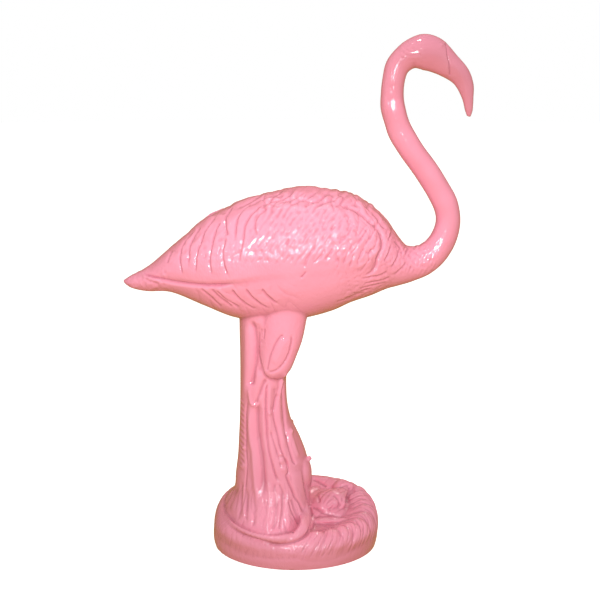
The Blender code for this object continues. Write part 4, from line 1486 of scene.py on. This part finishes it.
def studio_world(studio):
    """White to the camera, and to the statue a soft room, grey in front and above and amber elsewhere."""
    world = bpy.data.worlds.new("studio")
    world.use_nodes = True
    nodes = Nodes(world.node_tree)
    way = nodes.node("ShaderNodeTexCoord")
    behind = nodes.node("ShaderNodeSeparateXYZ", values={0: way}, output=1)
    height = nodes.node("ShaderNodeSeparateXYZ", values={0: way}, output=2)
    to_back = nodes.clipped(behind * BACK_RISE + 0.5)
    around = nodes.mixed(to_back, (*studio.front_colour, 1.0), (*studio.back_colour, 1.0))
    upwards = nodes.clipped(height * ABOVE_RISE - behind * ABOVE_DELAY)
    upper = nodes.mixed(upwards, around, (*studio.above_colour, 1.0))
    room = nodes.mixed(nodes.clipped(height * -BELOW_RISE), upper, (*studio.below_colour, 1.0))
    seen = nodes.node("ShaderNodeLightPath")
    backdrop = nodes.mixed(seen, room, (1.0, 1.0, 1.0, 1.0))
    nodes.set(world.node_tree.nodes["Background"], "Color", backdrop)
    return world


class STATUE_OT_studio(bpy.types.Operator):
    """Lay the pale floor, hang the lights and place the camera"""

    bl_idname = "statue.studio"
    bl_label = "Set up studio"

    def execute(self, context):
        """Make the floor, lights, backdrop colour and camera."""
        studio = context.scene.statue_studio
        nothing_selected()
        bpy.ops.mesh.primitive_circle_add(vertices=128, radius=FLOOR_RADIUS, fill_type="NGON")
        floor = added("floor")
        material, nodes, shader = new_material("floor")
        nodes.set(shader, "Base Color", (*studio.floor_colour, 1.0))
        nodes.set(shader, "Roughness", FLOOR_ROUGHNESS)
        nodes.set(shader, "Emission Color", (1.0, 1.0, 1.0, 1.0))
        nodes.set(shader, "Emission Strength", studio.floor_glow)
        floor.data.materials.append(material)
        floor.visible_diffuse = False
        floor.visible_glossy = False
        add_spot(
            "flash", studio.flash, FLASH_PLACE, FLASH_AIM, COOL_WHITE, FLASH_RADIUS, studio.flash_cone)
        add_spot("key", studio.key, FLASH_PLACE, KEY_AIM, COOL_WHITE, KEY_RADIUS, studio.key_cone)
        add_light("ceiling", "POINT", studio.ceiling, CEILING_PLACE, CEILING_AIM, WARM_WHITE, CEILING_RADIUS)
        add_spot(
            "rim_lamp", studio.rim_lamp, RIM_LAMP_PLACE, RIM_LAMP_AIM, WARM_WHITE, RIM_LAMP_RADIUS,
            studio.rim_cone)
        back = add_light(
            "back_light", "SUN", studio.back_light, BACK_LIGHT_PLACE, BACK_LIGHT_AIM, AMBER_WHITE,
            BACK_LIGHT_SPREAD)
        back.visible_glossy = False
        context.scene.world = studio_world(studio)
        bpy.ops.object.camera_add(
            location=CAMERA_PLACE, rotation=(math.pi / 2 - CAMERA_PITCH, 0.0, 0.0))
        camera = added("camera")
        camera.data.lens = LENS
        camera.data.sensor_width = SENSOR
        context.scene.camera = camera
        context.scene.view_settings.view_transform = "Standard"
        return {"FINISHED"}


class STATUE_PT_panel(bpy.types.Panel):
    """Lists the sizes, the finish and the steps"""

    bl_idname = "STATUE_PT_panel"
    bl_label = "Flamingo statue"
    bl_space_type = "VIEW_3D"
    bl_region_type = "UI"
    bl_category = "Flamingo"

    def draw(self, context):
        """Draw every property and a button for each operator."""
        for group in (context.scene.statue_sizes, context.scene.statue_finish, context.scene.statue_studio):
            for key in group.bl_rna.properties.keys():
                if key not in {"rna_type", "name"}:
                    self.layout.prop(group, key)
        for operator in STEPS:
            self.layout.operator(operator.bl_idname)


STEPS = (STATUE_OT_cast, STATUE_OT_studio)
CLASSES = (StatueSizes, StatueFinish, StudioSettings, *STEPS, STATUE_PT_panel)


def register():
    """Register the classes and give the scene its settings."""
    for made in CLASSES:
        bpy.utils.register_class(made)
    bpy.types.Scene.statue_sizes = bpy.props.PointerProperty(type=StatueSizes)
    bpy.types.Scene.statue_finish = bpy.props.PointerProperty(type=StatueFinish)
    bpy.types.Scene.statue_studio = bpy.props.PointerProperty(type=StudioSettings)


def unregister():
    """Take the settings and classes away again."""
    del bpy.types.Scene.statue_sizes
    del bpy.types.Scene.statue_finish
    del bpy.types.Scene.statue_studio
    for made in reversed(CLASSES):
        bpy.utils.unregister_class(made)


def main():
    """Build everything in order."""
    register()
    bpy.ops.statue.cast()
    bpy.ops.statue.studio()


if __name__ == "__main__":
    main()
